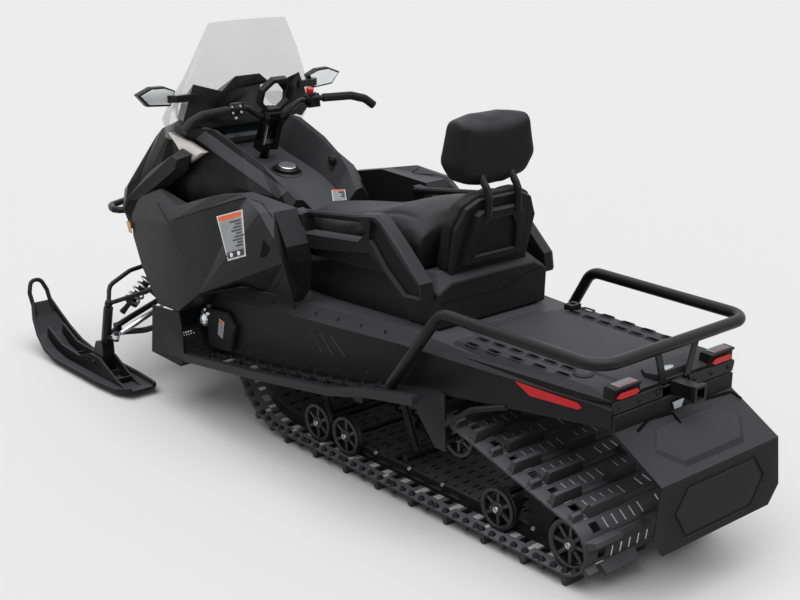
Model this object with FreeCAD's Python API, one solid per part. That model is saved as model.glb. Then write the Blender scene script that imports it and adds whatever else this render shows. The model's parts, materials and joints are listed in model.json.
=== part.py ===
import FreeCAD, Part
import math
import os

# A wide-track utility snowmobile with a passenger seat, a cargo deck and a rack hoop.
# X points forward, Y to the driver's left and Z up. The ground is at z = 0 and the
# origin is under the middle of the machine. All lengths are in millimetres.

V = FreeCAD.Vector

# Track loop
TRACK_WIDTH = 610.0
BELT_THICKNESS = 6.0
LUG_HEIGHT = 38.0
LUG_BASE = 26.0
LUG_CREST = 14.0
LUG_PITCH = 82.0
LUG_SINK = 2.0
LUG_SIDE_TAPER = 7.0
LUG_EDGE_GAP = 5.0
LUG_OUTER_LENGTH = 124.0
LUG_CENTRE_LENGTH = 124.0
LUG_INNER_Y = 84.0
LUG_INNER_EDGE_GAP = 67.0
WINDOW_LENGTH = 30.0
WINDOW_WIDTH = 34.0
WINDOW_EDGE_GAP = 52.0
SPROCKET_X = 290.0
SPROCKET_Z = 330.0
SPROCKET_RADIUS = 76.0
SPROCKET_Y = 150.0
SPROCKET_WIDTH = 36.0
CARRIER_X = -806.0
CARRIER_Z = 282.0
CARRIER_RADIUS = 68.0
CARRIER_SIDE_GAP = 7.0
REAR_IDLER_X = -1312.0
REAR_IDLER_RADIUS = 80.0
RAIL_TIP_X = 60.0
RAIL_TIP_RADIUS = 250.0

# Skid frame inside the track
RAIL_EDGE_GAP = 90.0
RAIL_THICKNESS = 16.0
RAIL_BAR_HEIGHT = 40.0
RAIL_FRONT_RISE = 52.0
RAIL_SLOT_LENGTH = 62.0
RAIL_SLOT_HEIGHT = 14.0
WHEEL_WIDTH = 26.0
WHEEL_RAIL_GAP = 12.0
IDLER_RAIL_GAP = 32.0
ROAD_WHEEL_RADIUS = 69.0
ROAD_WHEEL_X = (-112.0, -268.0, -1000.0)
HELPER_WHEEL_X = -1150.0
HELPER_WHEEL_Z = 124.0
HELPER_WHEEL_RADIUS = 56.0
CARRIER_WHEEL_Y = 230.0
AXLE_RADIUS = 11.0
SKID_TUBE_RADIUS = 14.0
SKID_ARM_Y = 150.0
FRONT_ARM = ((60.0, 330.0), (-60.0, 100.0))
REAR_ARM = ((-420.0, 325.0), (-520.0, 100.0))
SKID_SHOCK_SPRING_RADIUS = 31.0
SHOCK_MOUNT_X = (-450.0, -880.0)
FIT_GAP = 0.3
RUNNING_GAP = 0.05

# Tunnel and boards
TUNNEL_FRONT_X = 435.0
TUNNEL_KINK_X = -620.0
TUNNEL_REAR_X = -1433.0
TUNNEL_SIDE_GAP = 19.0
TUNNEL_REAR_INSET = 40.0
TUNNEL_WALL = 5.0
TUNNEL_CHAMFER_IN = 36.0
TUNNEL_CHAMFER_UP = 44.0
TUNNEL_REAR_CHAMFER_UP = 14.0
TUNNEL_BEND_FRONT_Z = 468.0
TUNNEL_BEND_SLOPE = 0.083
TUNNEL_LOW_REAR_Z = 512.0
TUNNEL_BEND_REAR_Z = 568.0
BOARD_WIDTH = 128.0
BOARD_PLATE = 5.0
BOARD_RAIL_WIDTH = 26.0
BOARD_RAIL_HEIGHT = 30.0
BOARD_SLOT_LENGTH = 56.0
BOARD_SLOT_WIDTH = 50.0
BOARD_SLOT_IN = 22.0
BOARD_SLOT_PITCH = 84.0
BRACE_PLATE = 6.0

# Skis and steering
SKI_Y = 450.0
SKI_HALF_WIDTH = 94.0
SKI_PLATE = 9.0
SKI_EDGE_HEIGHT = 22.0
SKI_EDGE_WIDTH = 9.0
SKI_KEEL_WIDTH = 18.0
SKI_REAR_X = 742.0
SKI_PIVOT_X = 1046.0
SKI_PIVOT_Z = 74.0
SKI_BOLT_RADIUS = 7.0
SKI_WEB_Y = 34.0
SKI_WEB_THICKNESS = 9.0
SKI_RIB_PITCH = 96.0
SKI_LOOP_RADIUS = 9.0
KINGPIN_TOP_X = 972.0
KINGPIN_TOP_Z = 326.0
KINGPIN_LEAN_DEG = 14.5
SPINDLE_RADIUS = 19.0
UPPER_BALL_RADIUS = 17.0
LOWER_BALL_RADIUS = 16.0
LOWER_BALL_Z = 192.0
FRAME_HALF = 212.0
ARM_PIVOT_INSET = 16.0
ARM_RADIUS = 12.0
UPPER_ARM_RADIUS = 9.0
SHOCK_SPRING_RADIUS = 28.0
SHOCK_BODY_RADIUS = 19.0
TIE_ROD_EYE_RADIUS = 15.0
TIE_ROD_EYE_HALF = 9.0
TIE_ROD_BOLT_RADIUS = 6.0
TIE_ROD_RADIUS = 12.0
TIE_ROD_INNER_RADIUS = 10.0
TIE_ROD_INNER_OUT = 10.0
TIE_ROD_INNER_Z = 300.0
TIE_ROD_BALL_X = 928.0
TIE_ROD_BALL_Z = 203.0
COLUMN_LEAN_DEG = 22.0
COLUMN_X = 526.0
COLUMN_Z = 926.0
COLUMN_RADIUS = 17.0
BAR_UP_COLUMN = 172.0
BAR_RADIUS = 11.0
GRIP_RADIUS = 16.0
HOOP_RADIUS = 80.0
HOOP_WIDTH = 18.0
HOOP_DEPTH = 24.0

# Bodywork
SCREEN_THICKNESS = 5.0
HOOD_REAR_X = 800.0
PAN_WALL = 5.0
PAN_FLOOR_HALF = 296.0
PAN_OUTER_Y = 440.0
DISPLAY_HALF = 104.0
BUMPER_RADIUS = 14.0
FUEL_CAP_X = 388.0
FUEL_CAP_Z = 884.0
FUEL_CAP_RADIUS = 46.0
FUEL_CAP_HEIGHT = 26.0
LAMP_INNER_Y = 226.0
LAMP_OUTER_Y = 262.0
LAMP_OUTLINE = [(788, 1006), (640, 992), (530, 970), (700, 882), (790, 874), (768, 896), (700, 944),
                (732, 972)]

# Side panel: corners, flat facets and rim, with its flat back against the frame
PANEL_BACK_Y = 288.0
PANEL_CORNERS = {
    "nose_top": (942, 300, 745),
    "shoulder_a": (788, 300, 796),
    "shoulder_b": (613, 345, 768),
    "shoulder_c": (368, 345, 849),
    "shoulder_d": (187, 330, 888),
    "nose": (980, 320, 660),
    "crease_a": (585, 400, 717),
    "crease_b": (316, 405, 824),
    "crease_c": (94, 385, 904),
    "crease_d": (-40, 425, 879),
    "crease_e": (-130, 432, 807),
    "rear_edge": (-166, 425, 735),
    "tail_top": (-61, 380, 878),
    "tail_mid": (-130, 385, 773),
    "tail_low": (-139, 385, 716),
    "skirt_a": (-132, 330, 619),
    "skirt_b": (-87, 326, 562),
    "skirt_c": (37, 345, 574),
    "skirt_d": (92, 430, 594),
    "skirt_e": (325, 440, 517),
    "well_rear": (457, 450, 420),
    "well_low": (639, 425, 402),
    "well_front": (809, 385, 500),
    "well_nose": (934, 345, 592),
}
PANEL_FACETS = (
    "crease_a shoulder_b shoulder_a nose_top nose",
    "crease_a crease_b crease_c shoulder_d shoulder_c shoulder_b",
    "crease_a nose well_nose well_front well_low well_rear",
    "skirt_e well_rear crease_a crease_b crease_c crease_d crease_e rear_edge skirt_c skirt_d",
    "tail_top tail_mid tail_low rear_edge crease_e crease_d crease_c shoulder_d",
    "rear_edge tail_low skirt_a skirt_b skirt_c",
)
PANEL_RIM = (
    "nose_top shoulder_a shoulder_b shoulder_c shoulder_d tail_top tail_mid tail_low skirt_a skirt_b skirt_c "
    "skirt_d skirt_e well_rear well_low well_front well_nose nose"
)

# Seats and cargo
REST_FRONT_X = -612.0
REST_FOOT_Z = 760.0
REST_LEAN = 0.2
REST_THICKNESS = 60.0
HANDLE_TUBE_RADIUS = 13.0
HANDLE_INNER_Y = 246.0
HANDLE_THICKNESS = 46.0
HANDLE_OUTLINE = [(-40, 870), (-95, 866), (-108, 806), (-385, 834), (-425, 868), (-392, 888), (-392, 918),
                  (-470, 930),
                  (-505, 916), (-590, 846), (-690, 756), (-700, 696), (-600, 690), (-520, 745), (-440,
                                                                                                 798), (-400,
                                                                                                 788),
                  (-150, 752), (-60, 742), (-36, 770)]
HANDLE_POCKET = [(-452, 908), (-494, 896), (-576, 824), (-672, 744), (-680, 710), (-608, 704), (-516, 772),
                 (-446, 846)]
POST_RADIUS = 12.0
POST_Y = 64.0
DECK_TOP_Z = 612.0
DECK_RAIL_Z = 606.0
DECK_FRONT_X = -712.0
DECK_LIP_X = -818.0
DECK_FLAT_END_X = -1345.0
DECK_REAR_X = -1430.0
DECK_PANEL_HALF = 158.0
DECK_SLOT_LENGTH = 46.0
DECK_SLOT_WIDTH = 17.0
DECK_SLOT_DEPTH = 8.0
DECK_SLOT_ROWS = ((-880.0, -1232.0, 256.0, 234.0, 86.0), (-870.0, -1206.0, 202.0, 186.0, 66.0))
DECK_DOME_X = -1262.0
DECK_DOME_Y = 192.0
DECK_PAD = [(-1352, -62), (-1352, 62), (-1386, 84), (-1426, 70), (-1426, -70), (-1386, -84)]
RACK_RADIUS = 18.0
RACK_BEND_RADIUS = 70.0
RACK_TOP_Z = 707.0
RACK_HALF = 327.0
HITCH_REACH = 91.0
HITCH_SIZE = 40.0
HITCH_WALL = 4.0
HITCH_Z = 576.0
PLATE_THICKNESS = 7.0
FLAP_THICKNESS = 6.0
FLAP_REACH = 179.0
FLAP_FOLD_Z = 400.0
FLAP_LOW_Z = 196.0

# Facets of round parts: enough for a smooth look from a step away
TUBE_SIDES = 10
ROD_SIDES = 8
TUBE_STEP_DEG = 34.0
WHEEL_SIDES = 14

# Places that follow from the sizes above
TRACK_HALF = TRACK_WIDTH / 2
RAIL_Y = TRACK_HALF - RAIL_EDGE_GAP
ROAD_WHEEL_Y = RAIL_Y + RAIL_THICKNESS / 2 + WHEEL_RAIL_GAP + WHEEL_WIDTH / 2
REAR_IDLER_Y = RAIL_Y + RAIL_THICKNESS / 2 + IDLER_RAIL_GAP + WHEEL_WIDTH / 2
HELPER_WHEEL_Y = RAIL_Y - RAIL_THICKNESS / 2 - WHEEL_RAIL_GAP - WHEEL_WIDTH / 2
CARRIER_PLATE_Y = TRACK_HALF + CARRIER_SIDE_GAP
TUNNEL_HALF_FRONT = TRACK_HALF + TUNNEL_SIDE_GAP
TUNNEL_HALF_REAR = TRACK_HALF - TUNNEL_REAR_INSET
BOARD_OUTER_Y = TUNNEL_HALF_FRONT + BOARD_WIDTH
REAR_IDLER_Z = LUG_HEIGHT + BELT_THICKNESS + REAR_IDLER_RADIUS
RAIL_FOOT_Z = LUG_HEIGHT + BELT_THICKNESS + FIT_GAP
ARM_PIVOT_Y = FRAME_HALF - ARM_PIVOT_INSET
TIE_ROD_INNER_Y = FRAME_HALF + TIE_ROD_INNER_OUT
TUNNEL_INNER_Y = TUNNEL_HALF_FRONT - TUNNEL_WALL - FIT_GAP
TUNNEL_KNEES = (TUNNEL_FRONT_X, -20.0, -425.0, TUNNEL_KINK_X, TUNNEL_REAR_X)
BOARD_LEVELS = ((TUNNEL_FRONT_X, 243.0), (-20.0, 303.0), (-425.0, 366.0), (TUNNEL_KINK_X, 418.0),
                (-830.0, 455.0))


def wire_of(points):
    return Part.makePolygon(list(points) + [points[0]])


def prism_y(outline_xz, y0, y1):
    face = Part.Face(wire_of([V(x, y0, z) for x, z in outline_xz]))
    return face.extrude(V(0, y1 - y0, 0))


def prism_x(outline_yz, x0, x1):
    face = Part.Face(wire_of([V(x0, y, z) for y, z in outline_yz]))
    return face.extrude(V(x1 - x0, 0, 0))


def prism_z(outline_xy, z0, z1):
    face = Part.Face(wire_of([V(x, y, z0) for x, y in outline_xy]))
    return face.extrude(V(0, 0, z1 - z0))


def box(x0, x1, y0, y1, z0, z1):
    return Part.makeBox(x1 - x0, y1 - y0, z1 - z0, V(x0, y0, z0))


def flat_facets(corners, centre):
    normal = (corners[1] - corners[0]).cross(corners[2] - corners[0])
    normal.normalize()
    if abs((corners[3] - corners[0]).dot(normal)) < 0.001:
        return [Part.Face(wire_of(corners))]
    a, b, c, d = corners
    if ((a + c) * 0.5 - centre).Length < ((b + d) * 0.5 - centre).Length:
        a, b, c, d = b, c, d, a
    return [Part.Face(wire_of([a, b, c])), Part.Face(wire_of([a, c, d]))]


def solid_of(faces):
    shell = Part.makeShell(faces)
    shell.sewShape()
    solid = Part.makeSolid(shell)
    if solid.Volume < 0:
        solid.reverse()
    return solid


def loft(sections):
    rings = [[V(*p) for p in section] for section in sections]
    count = len(rings[0])
    faces = [Part.Face(wire_of(rings[0])), Part.Face(wire_of(rings[-1]))]
    for ring, following in zip(rings, rings[1:]):
        centre = V(0, 0, 0)
        for corner in ring + following:
            centre += corner * (0.5 / count)
        for k in range(count):
            j = (k + 1) % count
            faces.extend(flat_facets([ring[k], ring[j], following[j], following[k]], centre))
    return solid_of(faces)


def loft_x(stations):
    return loft([[(x, y, z) for y, z in outline] for x, outline in stations])


def loft_y(stations):
    return loft([[(x, y, z) for x, z in outline] for y, outline in stations])


def both_ways(half):
    # Closes a half outline, given from its lowest to its highest point, over the middle plane.
    return half + [(-y, z) for y, z in reversed(half)]


def inset(outline, distance):
    # Moves each side of a flat outline inward; a negative distance moves it outward.
    count = len(outline)
    area = sum(outline[k - 1][0] * outline[k][1] - outline[k][0] * outline[k - 1][1] for k in range(count))
    turn = 1 if area > 0 else -1
    moved = []
    for k in range(count):
        a, b, c = outline[k - 1], outline[k], outline[(k + 1) % count]
        first = math.hypot(b[0] - a[0], b[1] - a[1])
        second = math.hypot(c[0] - b[0], c[1] - b[1])
        n1 = ((a[1] - b[1]) / first * turn, (b[0] - a[0]) / first * turn)
        n2 = ((b[1] - c[1]) / second * turn, (c[0] - b[0]) / second * turn)
        spread = 1 + n1[0] * n2[0] + n1[1] * n2[1]
        moved.append((b[0] + (n1[0] + n2[0]) * distance / spread, b[1] + (n1[1] + n2[1]) * distance / spread))
    return moved


def shield(points, facets, rim, back_y):
    # A housing of flat facets, closed by straight walls from its rim to a flat back.
    places = {name: V(*place) for name, place in points.items()}
    faces = []
    for facet in facets:
        corners = [places[name] for name in facet.split()]
        for k in range(1, len(corners) - 1):
            faces.append(Part.Face(wire_of([corners[0], corners[k], corners[k + 1]])))
    edge = [places[name] for name in rim.split()]
    back = [V(p.x, back_y, p.z) for p in edge]
    for k in range(len(edge)):
        j = (k + 1) % len(edge)
        faces.append(Part.Face(wire_of([edge[k], edge[j], back[j], back[k]])))
    faces.append(Part.Face(wire_of(back)))
    return solid_of(faces)


def ring_about(centre, along, radius, sides):
    across = along.cross(V(0, 0, 1) if abs(along.z) < 0.9 else V(1, 0, 0)).normalize()
    upright = along.cross(across).normalize()
    corners = []
    for k in range(sides):
        turn = 2 * math.pi * (k + 0.5) / sides
        corners.append(centre + across * (radius * math.cos(turn)) + upright * (radius * math.sin(turn)))
    return corners


def turned(profile, start, end, sides=TUBE_SIDES):
    # A part turned about the line from start to end: pairs of distance and radius.
    origin = V(*start)
    along = (V(*end) - origin).normalize()
    return loft([ring_about(origin + along * distance, along, radius, sides) for distance, radius in profile])


def rod(start, end, radius, sides=ROD_SIDES):
    return turned([(0.0, radius), ((V(*end) - V(*start)).Length, radius)], start, end, sides)


def round_hole(start, end, radius):
    # A hole that leaves a full circle of the radius clear, so that a pin can turn in it.
    return rod(start, end, radius / math.cos(math.pi / TUBE_SIDES), TUBE_SIDES)


def eased(points, bend_radius):
    # Replaces each corner of a path by short chords round its bend.
    pts = [V(*p) for p in points]
    path = [pts[0]]
    for before, corner, after in zip(pts, pts[1:], pts[2:]):
        u = (before - corner).normalize()
        w = (after - corner).normalize()
        half = 0.5 * u.getAngle(w)
        reach = min(bend_radius / math.tan(half), 0.45 * (before - corner).Length,
                    0.45 * (after - corner).Length)
        radius = reach * math.tan(half)
        turn = math.pi - 2 * half
        inward = (u + w).normalize()
        across = (w - u).normalize()
        centre = corner + inward * (radius / math.sin(half))
        steps = max(1, math.ceil(math.degrees(turn) / TUBE_STEP_DEG))
        for k in range(steps + 1):
            swing = turn * (k / steps - 0.5)
            path.append(centre - inward * (radius * math.cos(swing)) + across * (radius * math.sin(swing)))
    path.append(pts[-1])
    return path


def bent_tube(points, radius, bend_radius, sides=TUBE_SIDES):
    # A tube along a bent path, mitred at each chord so that its sides stay flat.
    path = eased(points, bend_radius)
    heading = (path[1] - path[0]).normalize()
    ring = ring_about(path[0], heading, radius, sides)
    rings = [ring]
    for k in range(1, len(path)):
        heading = (path[k] - path[k - 1]).normalize()
        following = (path[k + 1] - path[k]).normalize() if k + 1 < len(path) else heading
        normal = heading + following
        ring = [p + heading * ((path[k] - p).dot(normal) / heading.dot(normal)) for p in ring]
        rings.append(ring)
    return loft(rings)


def mirrored(shape):
    return shape.mirror(V(0, 0, 0), V(0, 1, 0))


def both_sides(shape):
    return Part.makeCompound([shape, mirrored(shape)])


def carve(shape, *neighbours):
    rest = shape
    for neighbour in neighbours:
        rest = rest.cut(neighbour)
    return max(rest.Solids, key=lambda solid: solid.Volume)


def outside(shape, y_plane):
    keep = box(-3000.0, 3000.0, y_plane, 3000.0, -3000.0, 3000.0)
    return carve(shape.common(keep))


def save(name, shape):
    shape.exportStep(os.path.join("parts", name + ".step"))


# Track path: a convex belt line round four circles

BELT_CIRCLES = [
    (REAR_IDLER_X, REAR_IDLER_Z, REAR_IDLER_RADIUS),
    (RAIL_TIP_X, LUG_HEIGHT + BELT_THICKNESS + RAIL_TIP_RADIUS, RAIL_TIP_RADIUS),
    (SPROCKET_X, SPROCKET_Z, SPROCKET_RADIUS),
    (CARRIER_X, CARRIER_Z, CARRIER_RADIUS),
]


def belt_tangents(offset):
    runs = []
    count = len(BELT_CIRCLES)
    for index in range(count):
        xa, za, ra = BELT_CIRCLES[index]
        xb, zb, rb = BELT_CIRCLES[(index + 1) % count]
        ra += offset
        rb += offset
        span = math.hypot(xb - xa, zb - za)
        ux, uz = (xb - xa) / span, (zb - za) / span
        along = (ra - rb) / span
        across = math.sqrt(1 - along * along)
        nx = ux * along + uz * across
        nz = uz * along - ux * across
        runs.append(((xa + ra * nx, za + ra * nz), (xb + rb * nx, zb + rb * nz), (nx, nz)))
    return runs


def belt_wire(offset, y):
    runs = belt_tangents(offset)
    edges = []
    for index, (start, end, normal) in enumerate(runs):
        edges.append(Part.LineSegment(V(start[0], y, start[1]), V(end[0], y, end[1])).toShape())
        following = runs[(index + 1) % len(runs)]
        cx, cz, radius = BELT_CIRCLES[(index + 1) % len(runs)]
        mx = normal[0] + following[2][0]
        mz = normal[1] + following[2][1]
        scale = (radius + offset) / math.hypot(mx, mz)
        middle = V(cx + mx * scale, y, cz + mz * scale)
        last = V(following[0][0], y, following[0][1])
        edges.append(Part.Arc(V(end[0], y, end[1]), middle, last).toShape())
    return Part.Wire(edges)


def belt_stations(offset, shift=0.0):
    # Points and directions along the belt, one for each row of lugs.
    wire = belt_wire(offset, 0.0)
    length = wire.Length
    rows = int(round(length / LUG_PITCH / 2)) * 2
    stations = []
    for k in range(rows):
        distance = length * ((k + shift) % rows) / rows
        for edge in wire.OrderedEdges:
            if distance <= edge.Length:
                break
            distance -= edge.Length
        parameter = edge.getParameterByLength(distance)
        stations.append((edge.valueAt(parameter), edge.tangentAt(parameter)))
    return stations


def raised_block(point, tangent, outward, y0, y1, height, base, crest, taper):
    # A moulded block that stands on the belt and narrows to its crest.
    foot = point - outward * LUG_SINK
    top = point + outward * height
    sections = []
    for centre, half, inset in ((foot, base / 2, 0.0), (top, crest / 2, taper)):
        corners = []
        for side, y in ((-1, y0 + inset), (1, y0 + inset), (1, y1 - inset), (-1, y1 - inset)):
            corner = centre + tangent * (side * half)
            corners.append((corner.x, y, corner.z))
        sections.append(corners)
    return loft(sections)


def lug_rows():
    outer = TRACK_HALF - LUG_EDGE_GAP
    staggered = TRACK_HALF - LUG_INNER_EDGE_GAP
    centre = LUG_CENTRE_LENGTH / 2
    first = [(-outer, LUG_OUTER_LENGTH - outer), (-centre, centre), (outer - LUG_OUTER_LENGTH, outer)]
    second = [(-staggered, -LUG_INNER_Y), (LUG_INNER_Y, staggered)]
    return [first, second]


def make_track():
    outer = Part.Face(belt_wire(BELT_THICKNESS, -TRACK_HALF)).extrude(V(0, TRACK_WIDTH, 0))
    inner = Part.Face(belt_wire(0.0, -TRACK_HALF - 1)).extrude(V(0, TRACK_WIDTH + 2, 0))
    belt = outer.cut(inner)
    windows = []
    window_y = TRACK_HALF - WINDOW_EDGE_GAP - WINDOW_WIDTH / 2
    for point, tangent in belt_stations(BELT_THICKNESS, 0.5):
        outward = V(tangent.z, 0, -tangent.x)
        for side in (-1, 1):
            foot = point - outward * (BELT_THICKNESS + 8)
            top = point + outward * 8
            half = WINDOW_WIDTH / 2
            corners = [foot - tangent * (WINDOW_LENGTH / 2), foot + tangent * (WINDOW_LENGTH / 2),
                       top + tangent * (WINDOW_LENGTH / 2), top - tangent * (WINDOW_LENGTH / 2)]
            low = [V(p.x, side * window_y - half, p.z) for p in corners]
            windows.append(Part.Face(wire_of(low)).extrude(V(0, WINDOW_WIDTH, 0)))
    belt = belt.cut(windows)
    blocks = []
    rows = lug_rows()
    for index, (point, tangent) in enumerate(belt_stations(BELT_THICKNESS)):
        outward = V(tangent.z, 0, -tangent.x)
        for y0, y1 in rows[index % 2]:
            blocks.append(raised_block(point, tangent, outward, y0, y1, LUG_HEIGHT, LUG_BASE, LUG_CREST,
                                       LUG_SIDE_TAPER))
    return belt.fuse(blocks)


# Skid frame

def slot_outline(x, z, length, height):
    end = height / 2
    half = length / 2
    return [(x - half, z), (x - half + end, z - end), (x + half - end, z - end), (x + half, z),
            (x + half - end, z + end), (x - half + end, z + end)]


def make_rails():
    foot = RAIL_FOOT_Z
    half = RAIL_THICKNESS / 2
    rear = REAR_IDLER_X
    tip = RAIL_TIP_X
    outline = [
        (rear + 14, foot),
        (tip, foot),
        (tip + 90, foot + 20),
        (tip + 150, foot + RAIL_FRONT_RISE),
        (tip + 138, foot + RAIL_FRONT_RISE + 24),
        (tip + 60, foot + RAIL_BAR_HEIGHT + 6),
        (tip - 60, foot + RAIL_BAR_HEIGHT),
        (rear + 350, foot + RAIL_BAR_HEIGHT),
        (rear + 262, foot + 126),
        (rear + 228, foot + 158),
        (rear + 120, foot + 150),
        (rear + 10, REAR_IDLER_Z + 26),
        (rear - 24, REAR_IDLER_Z),
    ]
    plate = prism_y(outline, -half, half)
    slots = []
    middle = foot + RAIL_BAR_HEIGHT / 2
    for x in (-20.0, -190.0, -345.0, -430.0, -515.0, -600.0, -685.0, -770.0):
        slots.append(prism_y(slot_outline(x, middle, RAIL_SLOT_LENGTH, RAIL_SLOT_HEIGHT), -half - 1,
                             half + 1))
    slots.append(prism_y([(rear + 70, foot + 62), (rear + 110, foot + 40), (rear + 130, foot + 70),
                          (rear + 100, foot + 118), (rear + 70, foot + 112)], -half - 1, half + 1))
    slots.append(prism_y([(rear + 212, foot + 44), (rear + 268, foot + 48), (rear + 236, foot + 126),
                          (rear + 212, foot + 128)], -half - 1, half + 1))
    plate = plate.cut(slots)
    wheel_z = foot + ROAD_WHEEL_RADIUS
    for x in ROAD_WHEEL_X:
        bracket = [(x - 44, foot + 4), (x + 44, foot + 4), (x + 20, wheel_z + 18), (x - 20, wheel_z + 18)]
        plate = plate.fuse(prism_y(bracket, -half, half))
    pieces = []
    for side in (-1, 1):
        copy = plate.copy()
        copy.translate(V(0, side * RAIL_Y, 0))
        pieces.append(copy)
    for x in SHOCK_MOUNT_X:
        pieces.append(rod((x, -RAIL_Y, middle + 10), (x, RAIL_Y, middle + 10), SKID_TUBE_RADIUS))
    reach = ROAD_WHEEL_Y + WHEEL_WIDTH / 2
    for x in ROAD_WHEEL_X:
        pieces.append(rod((x, -reach, wheel_z), (x, reach, wheel_z), AXLE_RADIUS))
    pieces.append(rod((HELPER_WHEEL_X, -RAIL_Y, HELPER_WHEEL_Z), (HELPER_WHEEL_X, RAIL_Y, HELPER_WHEEL_Z),
                      AXLE_RADIUS))
    idler_reach = REAR_IDLER_Y + WHEEL_WIDTH / 2
    pieces.append(rod((rear, -idler_reach, REAR_IDLER_Z), (rear, idler_reach, REAR_IDLER_Z), AXLE_RADIUS))
    return pieces[0].fuse(pieces[1:])


def make_skid_arm(top, low):
    reach = RAIL_Y - RAIL_THICKNESS / 2 - FIT_GAP
    pieces = [rod((top[0], -TUNNEL_INNER_Y, top[1]), (top[0], TUNNEL_INNER_Y, top[1]), SKID_TUBE_RADIUS + 2)]
    for y in (-SKID_ARM_Y, SKID_ARM_Y):
        pieces.append(rod((top[0], y, top[1]), (low[0], y, low[1]), SKID_TUBE_RADIUS))
    pieces.append(rod((low[0], -reach, low[1]), (low[0], reach, low[1]), SKID_TUBE_RADIUS))
    return pieces[0].fuse(pieces[1:])


def coil_profile(length, wire_radius, turns):
    # Outline of a coil spring from the side: a bulge for each turn of wire.
    profile = []
    for k in range(turns):
        start = length * k / turns
        profile.append((start, wire_radius * 0.72))
        profile.append((start + length * 0.5 / turns, wire_radius))
    profile.append((length, wire_radius * 0.72))
    return profile


def make_shock(top, low, spring_radius, body_radius, turns, sides=ROD_SIDES):
    # A coil-over damper: eye, seat, spring, seat and a body that stands out of the spring.
    length = (V(*low) - V(*top)).Length
    seat = length * 0.24
    spring = [(seat + distance, radius) for distance, radius in
              coil_profile(length * 0.56, spring_radius, turns)]
    profile = [(0.0, body_radius * 0.62), (length * 0.06, body_radius), (seat - 6, body_radius),
               (seat - 6, spring_radius), (seat, spring_radius)] + spring
    last = spring[-1][0]
    profile += [(last, spring_radius), (last + 6, spring_radius), (last + 6, body_radius * 0.5),
                (length, body_radius * 0.5)]
    return turned(profile, top, low, sides)


def make_skid_shocks():
    shocks = []
    for (top, low), mount_x in zip((FRONT_ARM, REAR_ARM), SHOCK_MOUNT_X):
        head = V(top[0], 0.0, top[1])
        foot = V(mount_x, 0.0, RAIL_FOOT_Z + RAIL_BAR_HEIGHT / 2 + 10)
        along = (foot - head).normalize()
        start = head + along * (SKID_TUBE_RADIUS + 2 + FIT_GAP)
        end = foot - along * (SKID_TUBE_RADIUS + FIT_GAP)
        shocks.append(make_shock(tuple(start), tuple(end), SKID_SHOCK_SPRING_RADIUS, SHOCK_BODY_RADIUS, 6))
    return Part.makeCompound(shocks)


def dished_wheel(x, y, z, radius, bore):
    # The dish is on the side that looks away from the middle of the machine.
    half = WHEEL_WIDTH / 2
    profile = [(-half, radius * 0.9), (-half * 0.7, radius), (half * 0.7, radius), (half, radius * 0.84),
               (half * 0.2, radius * 0.68), (half, bore + 9)]
    wheel = turned(profile, (x, y, z), (x, y + math.copysign(1, y), z), WHEEL_SIDES)
    return wheel.cut(rod((x, y - half - 1, z), (x, y + half + 1, z), bore))


def make_road_wheels():
    wheels = []
    for side in (-1, 1):
        for x in ROAD_WHEEL_X:
            wheels.append(dished_wheel(x, side * ROAD_WHEEL_Y, RAIL_FOOT_Z + ROAD_WHEEL_RADIUS,
                                       ROAD_WHEEL_RADIUS,
                                       AXLE_RADIUS + RUNNING_GAP))
        wheels.append(dished_wheel(HELPER_WHEEL_X, side * HELPER_WHEEL_Y, HELPER_WHEEL_Z, HELPER_WHEEL_RADIUS,
                                   AXLE_RADIUS + RUNNING_GAP))
    return Part.makeCompound(wheels)


def make_rear_idlers():
    return Part.makeCompound([dished_wheel(REAR_IDLER_X, side * REAR_IDLER_Y, REAR_IDLER_Z,
                                           REAR_IDLER_RADIUS - FIT_GAP, AXLE_RADIUS + RUNNING_GAP)
                              for side in (-1, 1)])


def make_carriers():
    shaft = rod((CARRIER_X, -CARRIER_PLATE_Y, CARRIER_Z), (CARRIER_X, CARRIER_PLATE_Y, CARRIER_Z),
                AXLE_RADIUS)
    wheels = [dished_wheel(CARRIER_X, side * CARRIER_WHEEL_Y, CARRIER_Z, CARRIER_RADIUS - FIT_GAP,
                           AXLE_RADIUS - 1)
              for side in (-1, 1)]
    return shaft.fuse(wheels)


def make_drive_axle():
    axle = rod((SPROCKET_X, -TUNNEL_INNER_Y, SPROCKET_Z), (SPROCKET_X, TUNNEL_INNER_Y, SPROCKET_Z),
               SKID_TUBE_RADIUS)
    radius = SPROCKET_RADIUS - FIT_GAP
    wheels = []
    for y in (-SPROCKET_Y, SPROCKET_Y):
        half = SPROCKET_WIDTH / 2
        profile = [(-half, radius), (-half * 0.3, radius), (-half * 0.3, radius * 0.8),
                   (half * 0.3, radius * 0.8),
                   (half * 0.3, radius), (half, radius)]
        wheels.append(turned(profile, (SPROCKET_X, y, SPROCKET_Z), (SPROCKET_X, y + 1, SPROCKET_Z),
                             WHEEL_SIDES))
    return axle.fuse(wheels)


# Tunnel

def bend_z(x):
    if x >= TUNNEL_KINK_X:
        return TUNNEL_BEND_FRONT_Z + (TUNNEL_FRONT_X - x) * TUNNEL_BEND_SLOPE
    at_kink = bend_z(TUNNEL_KINK_X)
    return at_kink + (TUNNEL_BEND_REAR_Z - at_kink) * rear_share(x)


def rear_share(x):
    return max(0.0, (TUNNEL_KINK_X - x) / (TUNNEL_KINK_X - TUNNEL_REAR_X))


def board_z(x):
    levels = BOARD_LEVELS
    for (xa, za), (xb, zb) in zip(levels, levels[1:]):
        if x >= xb:
            return za + (zb - za) * (xa - x) / (xa - xb)
    return levels[-1][1]


def tunnel_half(x):
    return TUNNEL_HALF_FRONT + (TUNNEL_HALF_REAR - TUNNEL_HALF_FRONT) * rear_share(x)


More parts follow.
